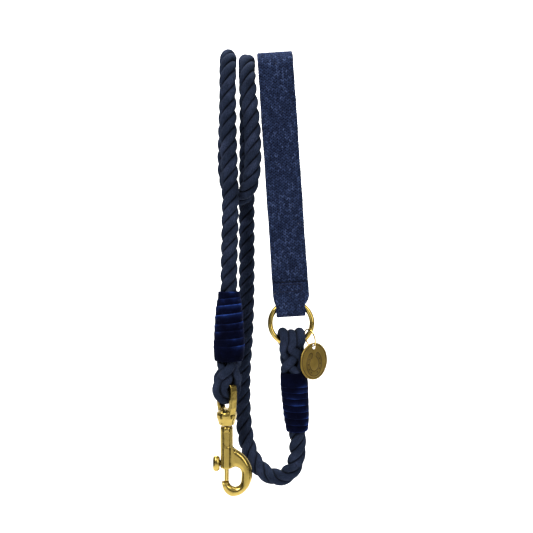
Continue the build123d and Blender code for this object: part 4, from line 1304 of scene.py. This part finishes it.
build_ring("ring_polished", RING_C, normal=(0, 1, 0), start=UP, radius=RING_R, wire=RING_WIRE,
           segments=(256, 48), body="ring", node="o_ring")
build_ring("jump_ring_wire", JUMP_C, normal=JUMP_NORMAL,
           start=JUMP_DOWN - 0.9 * np.cross(JUMP_DOWN, JUMP_NORMAL), radius=JUMP_R,
           wire=JUMP_WIRE + 0.08, segments=(200, 28), body="jump_ring", node="jump_ring",
           gap_deg=1.6)


# ---------------------------------------------------------------------------
# Bolt snap
# ---------------------------------------------------------------------------
def read_vectors(me, key):
    """Vertex positions (metres) or normals as an N x 3 array."""
    values = np.zeros(len(me.vertices) * 3, np.float32)
    me.vertices.foreach_get(key, values)
    return values.reshape(-1, 3).astype(float)


def write_positions(me, metres):
    me.vertices.foreach_set("co", metres.astype(np.float32).ravel())
    me.update()


def hook_weight(points):
    """One on the hook and its web, nothing on the barrel."""
    away = np.clip((points[:, 0] - (SNAP_BAR[0] + 4.9)) / 1.2, 0, 1)
    below = np.clip((-283.2 - points[:, 2]) / 1.5, 0, 1)
    return np.maximum(away, below) * (points[:, 2] < -254.5)


def crown_hook(me, width=3.6):
    """Round the hook's two flat faces towards its XZ outline."""
    middle = float(SNAP_BAR[1])
    points = read_vectors(me, "co") * 1000
    off = points[:, 1] - middle
    rim = np.where((np.abs(read_vectors(me, "normal")[:, 1]) < 0.35) & (np.abs(off) < 1.2))[0]
    tree = KDTree(len(rim))
    for i in rim:
        tree.insert((points[i, 0], 0.0, points[i, 2]), int(i))
    tree.balance()
    weight = hook_weight(points)
    for i in np.where(weight > 0.001)[0]:
        distance = tree.find((points[i, 0], 0.0, points[i, 2]))[2]
        u = 1 - min(distance / width, 1.0)
        keep = max(math.sqrt(max(1 - u * u, 0.0)), 0.12)
        points[i, 1] = middle + off[i] * (1 - weight[i] * (1 - keep))
    write_positions(me, points / 1000)


def cast_copy(node, name, body, voxel, smoothing, rough=0.0, seed=0, crown=None,
              material="cast_brass"):
    """The CAD piece with its edges softened as a tumbled casting's are."""
    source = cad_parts[node].data.copy()
    ob = add_object(name, source)
    ob.data.materials.clear()
    remesh = ob.modifiers.new("remesh", "REMESH")
    remesh.mode = "VOXEL"
    remesh.voxel_size = voxel / 1000.0 * 1.0
    remesh.adaptivity = 0.0
    soften = ob.modifiers.new("smooth", "SMOOTH")
    soften.factor = 0.5
    soften.iterations = smoothing
    graph = bpy.context.evaluated_depsgraph_get()
    me = bpy.data.meshes.new_from_object(ob.evaluated_get(graph))
    ob.modifiers.clear()
    ob.data = me
    bpy.data.meshes.remove(source)
    if crown:
        crown(me)
    smooth_shade(me)
    if rough:
        metres = read_vectors(me, "co")
        uneven = (value_noise(metres * 1000, 2.2, seed) * rough
                  + value_noise(metres * 1000, 0.7, seed + 1) * rough * 0.35)
        write_positions(me, metres + read_vectors(me, "normal") * (uneven / 1000.0)[:, None])
    dress(ob, material, body, node)


def build_spring():
    coil_r, wire_r, turns = 1.6, 0.27, 5.0
    low_z, height = -269.62, 10.85
    f = np.linspace(0, 1, 260)
    angle = 2 * math.pi * turns * f
    # the pitch is closer at the ends
    z = low_z + height * (f - 0.10 * np.sin(2 * math.pi * f))
    points = np.stack([SNAP_BAR[0] + coil_r * np.cos(angle),
                       SNAP_BAR[1] + coil_r * np.sin(angle), z], axis=1)
    outward = np.stack([np.cos(angle), np.sin(angle), 0 * angle], axis=1)
    (verts, quads, tris, _), _ = tube(points, outward, wire_r, wire_r, sides=14)
    ob = new_mesh("bolt_spring_wire", verts, quads, tris)
    dress(ob, "spring_steel", "snap", "bolt_spring")
    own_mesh(ob)


cast_copy("snap_body", "snap_body_cast", "snap", voxel=0.20, smoothing=8, rough=0.03, seed=5,
          crown=crown_hook)
cast_copy("swivel_eye", "swivel_eye_cast", "swivel", voxel=0.20, smoothing=18, rough=0.025, seed=8)
cast_copy("thumb_knob", "thumb_knob_cast", "bolt", voxel=0.16, smoothing=14, rough=0.02, seed=12)
cast_copy("bolt_pin", "bolt_pin_turned", "bolt", voxel=0.14, smoothing=2,
          material="polished_brass")
build_spring()

# ---------------------------------------------------------------------------
# Round tag: a struck disc with a border line and a horseshoe
# ---------------------------------------------------------------------------
TAG_EDGE_R = 0.35
BORDER_R = 11.7
SHOE_R = 5.9
SHOE_HALF_W = 1.55
SHOE_TIP_R = 1.60
SHOE_OPENING = 33                # degrees each side of straight up
SHOE_DROP = 1.6
SHOE_SQUASH = 0.84
NAIL_DEGREES = (152, 182, 212, 240, 300, 328, 358, 28)


def tag_relief(x, y):
    """Height (0 = face) at tag coordinates x right, y up."""
    def groove(distance, width):
        return np.exp(-(distance / width) ** 4)

    height = -0.17 * groove(np.hypot(x, y) - BORDER_R, 0.30)
    # horseshoe, open at the top: distance outside its outline, with round tips
    shoe_y = (y + SHOE_DROP) * SHOE_SQUASH
    shoe = np.abs(np.hypot(x, shoe_y) - SHOE_R) - SHOE_HALF_W
    from_up = np.abs(np.degrees(np.arctan2(shoe_y, x)) - 90)
    shoe = np.where(from_up < SHOE_OPENING, 9.0, shoe)
    tip = math.radians(90 - SHOE_OPENING)
    for side in (-1, 1):
        to_tip = np.hypot(x - side * SHOE_R * math.cos(tip), shoe_y - SHOE_R * math.sin(tip))
        shoe = np.minimum(shoe, to_tip - SHOE_TIP_R)
    height = height - 0.17 * groove(shoe, 0.26) - 0.05 * (shoe < -0.2)
    for angle in map(math.radians, NAIL_DEGREES):
        nail_x = SHOE_R * math.cos(angle)
        nail_y = SHOE_R * math.sin(angle) / SHOE_SQUASH - SHOE_DROP
        height = height - 0.20 * groove(np.hypot(x - nail_x, y - nail_y), 0.50)
    return height


def build_tag():
    """Rings of vertices on rays from the hole's centre, so the hole needs no cutting."""
    face_rings, sides = ((150, 420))
    half = TAG_T / 2
    angle = np.linspace(0, 2 * math.pi, sides, endpoint=False)
    ray_x, ray_y = np.cos(angle), np.sin(angle)
    along = TAG_HOLE_UP * ray_y
    to_rim = -along + np.sqrt(along**2 - (TAG_HOLE_UP**2 - TAG_R**2))

    def ring(share, z, inset=0.0):
        """Ring this share of the way from the hole to the rim."""
        reach = TAG_HOLE_R + (to_rim - inset - TAG_HOLE_R) * share
        return np.stack([ray_x * reach, TAG_HOLE_UP + ray_y * reach, np.full(sides, z)], axis=1)

    rings, reliefs = [], []
    for i in range(face_rings):
        front = ring(i / (face_rings - 1), half, TAG_EDGE_R)
        reliefs.append(tag_relief(front[:, 0], front[:, 1]))
        front[:, 2] += reliefs[-1]
        rings.append(front)
    for face, degrees in ((1, (30, 60, 90)), (-1, (90, 60, 30))):
        for bend in map(math.radians, degrees):
            edge = ring(1.0, face * (half - TAG_EDGE_R + TAG_EDGE_R * math.cos(bend)))
            edge[:, :2] *= (TAG_R - TAG_EDGE_R + TAG_EDGE_R * math.sin(bend)) / TAG_R
            rings.append(edge)
    for i in range(30):
        rings.append(ring(1 - i / 29, -half, TAG_EDGE_R))
    hole_centre = [0.0, TAG_HOLE_UP]
    for face in (-1, 1):
        wall = ring(0.0, face * half * 0.7)
        wall[:, :2] = (wall[:, :2] - hole_centre) * 0.97 + hole_centre
        rings.append(wall)
    x, y, z = np.concatenate(rings).T
    z = z + value_noise(np.stack([x, y, 0 * x], axis=1), 3.0, 31) * 0.03
    verts = TAG_C + x[:, None] * TAG_RIGHT + y[:, None] * UP + z[:, None] * TAG_NORMAL
    engraved = np.zeros(len(verts))
    engraved[:face_rings * sides] = np.clip(-np.concatenate(reliefs) / 0.15, 0, 1)
    ob = new_mesh("round_tag_struck", verts, grid_quads(len(rings), sides, wrap_rows=True),
                  attrs={"valley": engraved})
    dress(ob, "antique_brass", "tag", "round_tag")


build_tag()

# ---------------------------------------------------------------------------
# Stage, light, camera; all in metres
# ---------------------------------------------------------------------------
FLOOR_Z = -0.62
FLOOR_HALF_W = 3.2
SWEEP_Y, SWEEP_R = 0.9, 0.8      # where the floor starts to curve up, and its radius


def build_floor(material):
    """Floor sweeping up into a backdrop."""
    profile = [(-3.0, FLOOR_Z), (SWEEP_Y, FLOOR_Z)]
    for angle in np.radians(np.linspace(-90, 0, 14)):
        profile.append((SWEEP_Y + SWEEP_R * math.cos(angle),
                        FLOOR_Z + SWEEP_R + SWEEP_R * math.sin(angle)))
    profile.append((SWEEP_Y + SWEEP_R, 2.6))
    verts = [(x, y, z) for y, z in profile for x in (-FLOOR_HALF_W, FLOOR_HALF_W)]
    faces = [(i - 2, i - 1, i + 1, i) for i in range(2, len(verts), 2)]
    me = bpy.data.meshes.new("floor")
    me.from_pydata(verts, [], faces)
    smooth_shade(me)
    me.materials.append(material)
    add_object("floor", me)


def build_card(name, x, front, back, material, low=-0.75, high=0.15):
    """Upright card beside the piece, out of frame, for the brass to reflect."""
    me = bpy.data.meshes.new(name)
    corners = [(x, front, low), (x, back, low), (x, back, high), (x, front, high)]
    me.from_pydata(corners, [], [(0, 1, 2, 3)])
    me.materials.append(material)
    ob = add_object(name, me)
    ob.visible_camera = False


def build_world():
    """Grey sky, brighter upwards."""
    world = bpy.data.worlds.new("studio")
    bpy.context.scene.world = world
    world.use_nodes = True
    nodes, links = world.node_tree.nodes, world.node_tree.links
    background = nodes["Background"]
    coords = nodes.new("ShaderNodeTexCoord")
    split = nodes.new("ShaderNodeSeparateXYZ")
    links.new(coords.outputs["Generated"], split.inputs[0])
    sky = nodes.new("ShaderNodeValToRGB")
    elements = sky.color_ramp.elements
    elements[0].color = (0.10, 0.10, 0.11, 1)
    elements[1].color = grey(1.0)
    for position, value in ((0.30, 0.30), (0.47, 0.20), (0.58, 0.45), (0.75, 0.9)):
        elements.new(position).color = (value, value, value * 1.02, 1)
    # height -1..1 to 0..1
    upward = nodes.new("ShaderNodeMath")
    upward.operation = "MULTIPLY_ADD"
    upward.inputs[1].default_value = 0.5
    upward.inputs[2].default_value = 0.5
    links.new(split.outputs["Z"], upward.inputs[0])
    links.new(upward.outputs[0], sky.inputs["Fac"])
    links.new(sky.outputs["Color"], background.inputs[0])
    background.inputs[1].default_value = 0.85


def area_light(name, place, target, size, power):
    light = bpy.data.lights.new(name, "AREA")
    light.shape = "RECTANGLE"
    light.size, light.size_y = size
    light.energy = power
    ob = add_object(name, light)
    ob.location = place
    ob.rotation_euler = (Vector(target) - Vector(place)).to_track_quat("-Z", "Y").to_euler()


def build_camera():
    """Level, looking to the back; the half width is what it sees at the view distance."""
    half_width, distance = 0.1892, 0.5
    camera = bpy.data.cameras.new("camera")
    camera.sensor_width = 36.0
    camera.sensor_fit = "HORIZONTAL"
    camera.lens = camera.sensor_width / 2 / (half_width / distance)
    camera.clip_start = 0.01
    camera.clip_end = 20.0
    ob = add_object("camera", camera)
    ob.location = (-0.00585, -0.015 - distance, -0.13931)
    ob.rotation_euler = (math.radians(90), 0, 0)
    bpy.context.scene.camera = ob


floor_material = flat_material("floor", brightness=0.93)
card_material = flat_material("card", brightness=0.02)
build_floor(floor_material)
build_world()
area_light("key", (-0.50, -0.95, 0.60), target=(0, 0, -0.14), size=(0.45, 0.60), power=14.0)
area_light("fill", (0.75, -0.85, 0.10), target=(0, 0, -0.16), size=(0.4, 0.7), power=5.0)
area_light("top", (0.0, 0.10, 1.0), target=(0, 0, -0.16), size=(0.9, 0.7), power=10.0)
area_light("back_wash", (0.0, 0.25, 0.95), target=(0, 1.5, 0.1), size=(1.8, 0.6), power=34.0)
area_light("floor_wash", (0.0, 0.1, 0.9), target=(0, 0.9, -0.6), size=(1.6, 0.6), power=22.0)
build_card("card_left", x=-0.62, front=-0.55, back=-0.15, material=card_material)
build_card("card_right", x=0.62, front=-0.60, back=-0.20, material=card_material)
build_camera()

view = bpy.context.scene.view_settings
view.view_transform = "Standard"
view.look = "None"
view.exposure = 0.0
view.gamma = 1.0
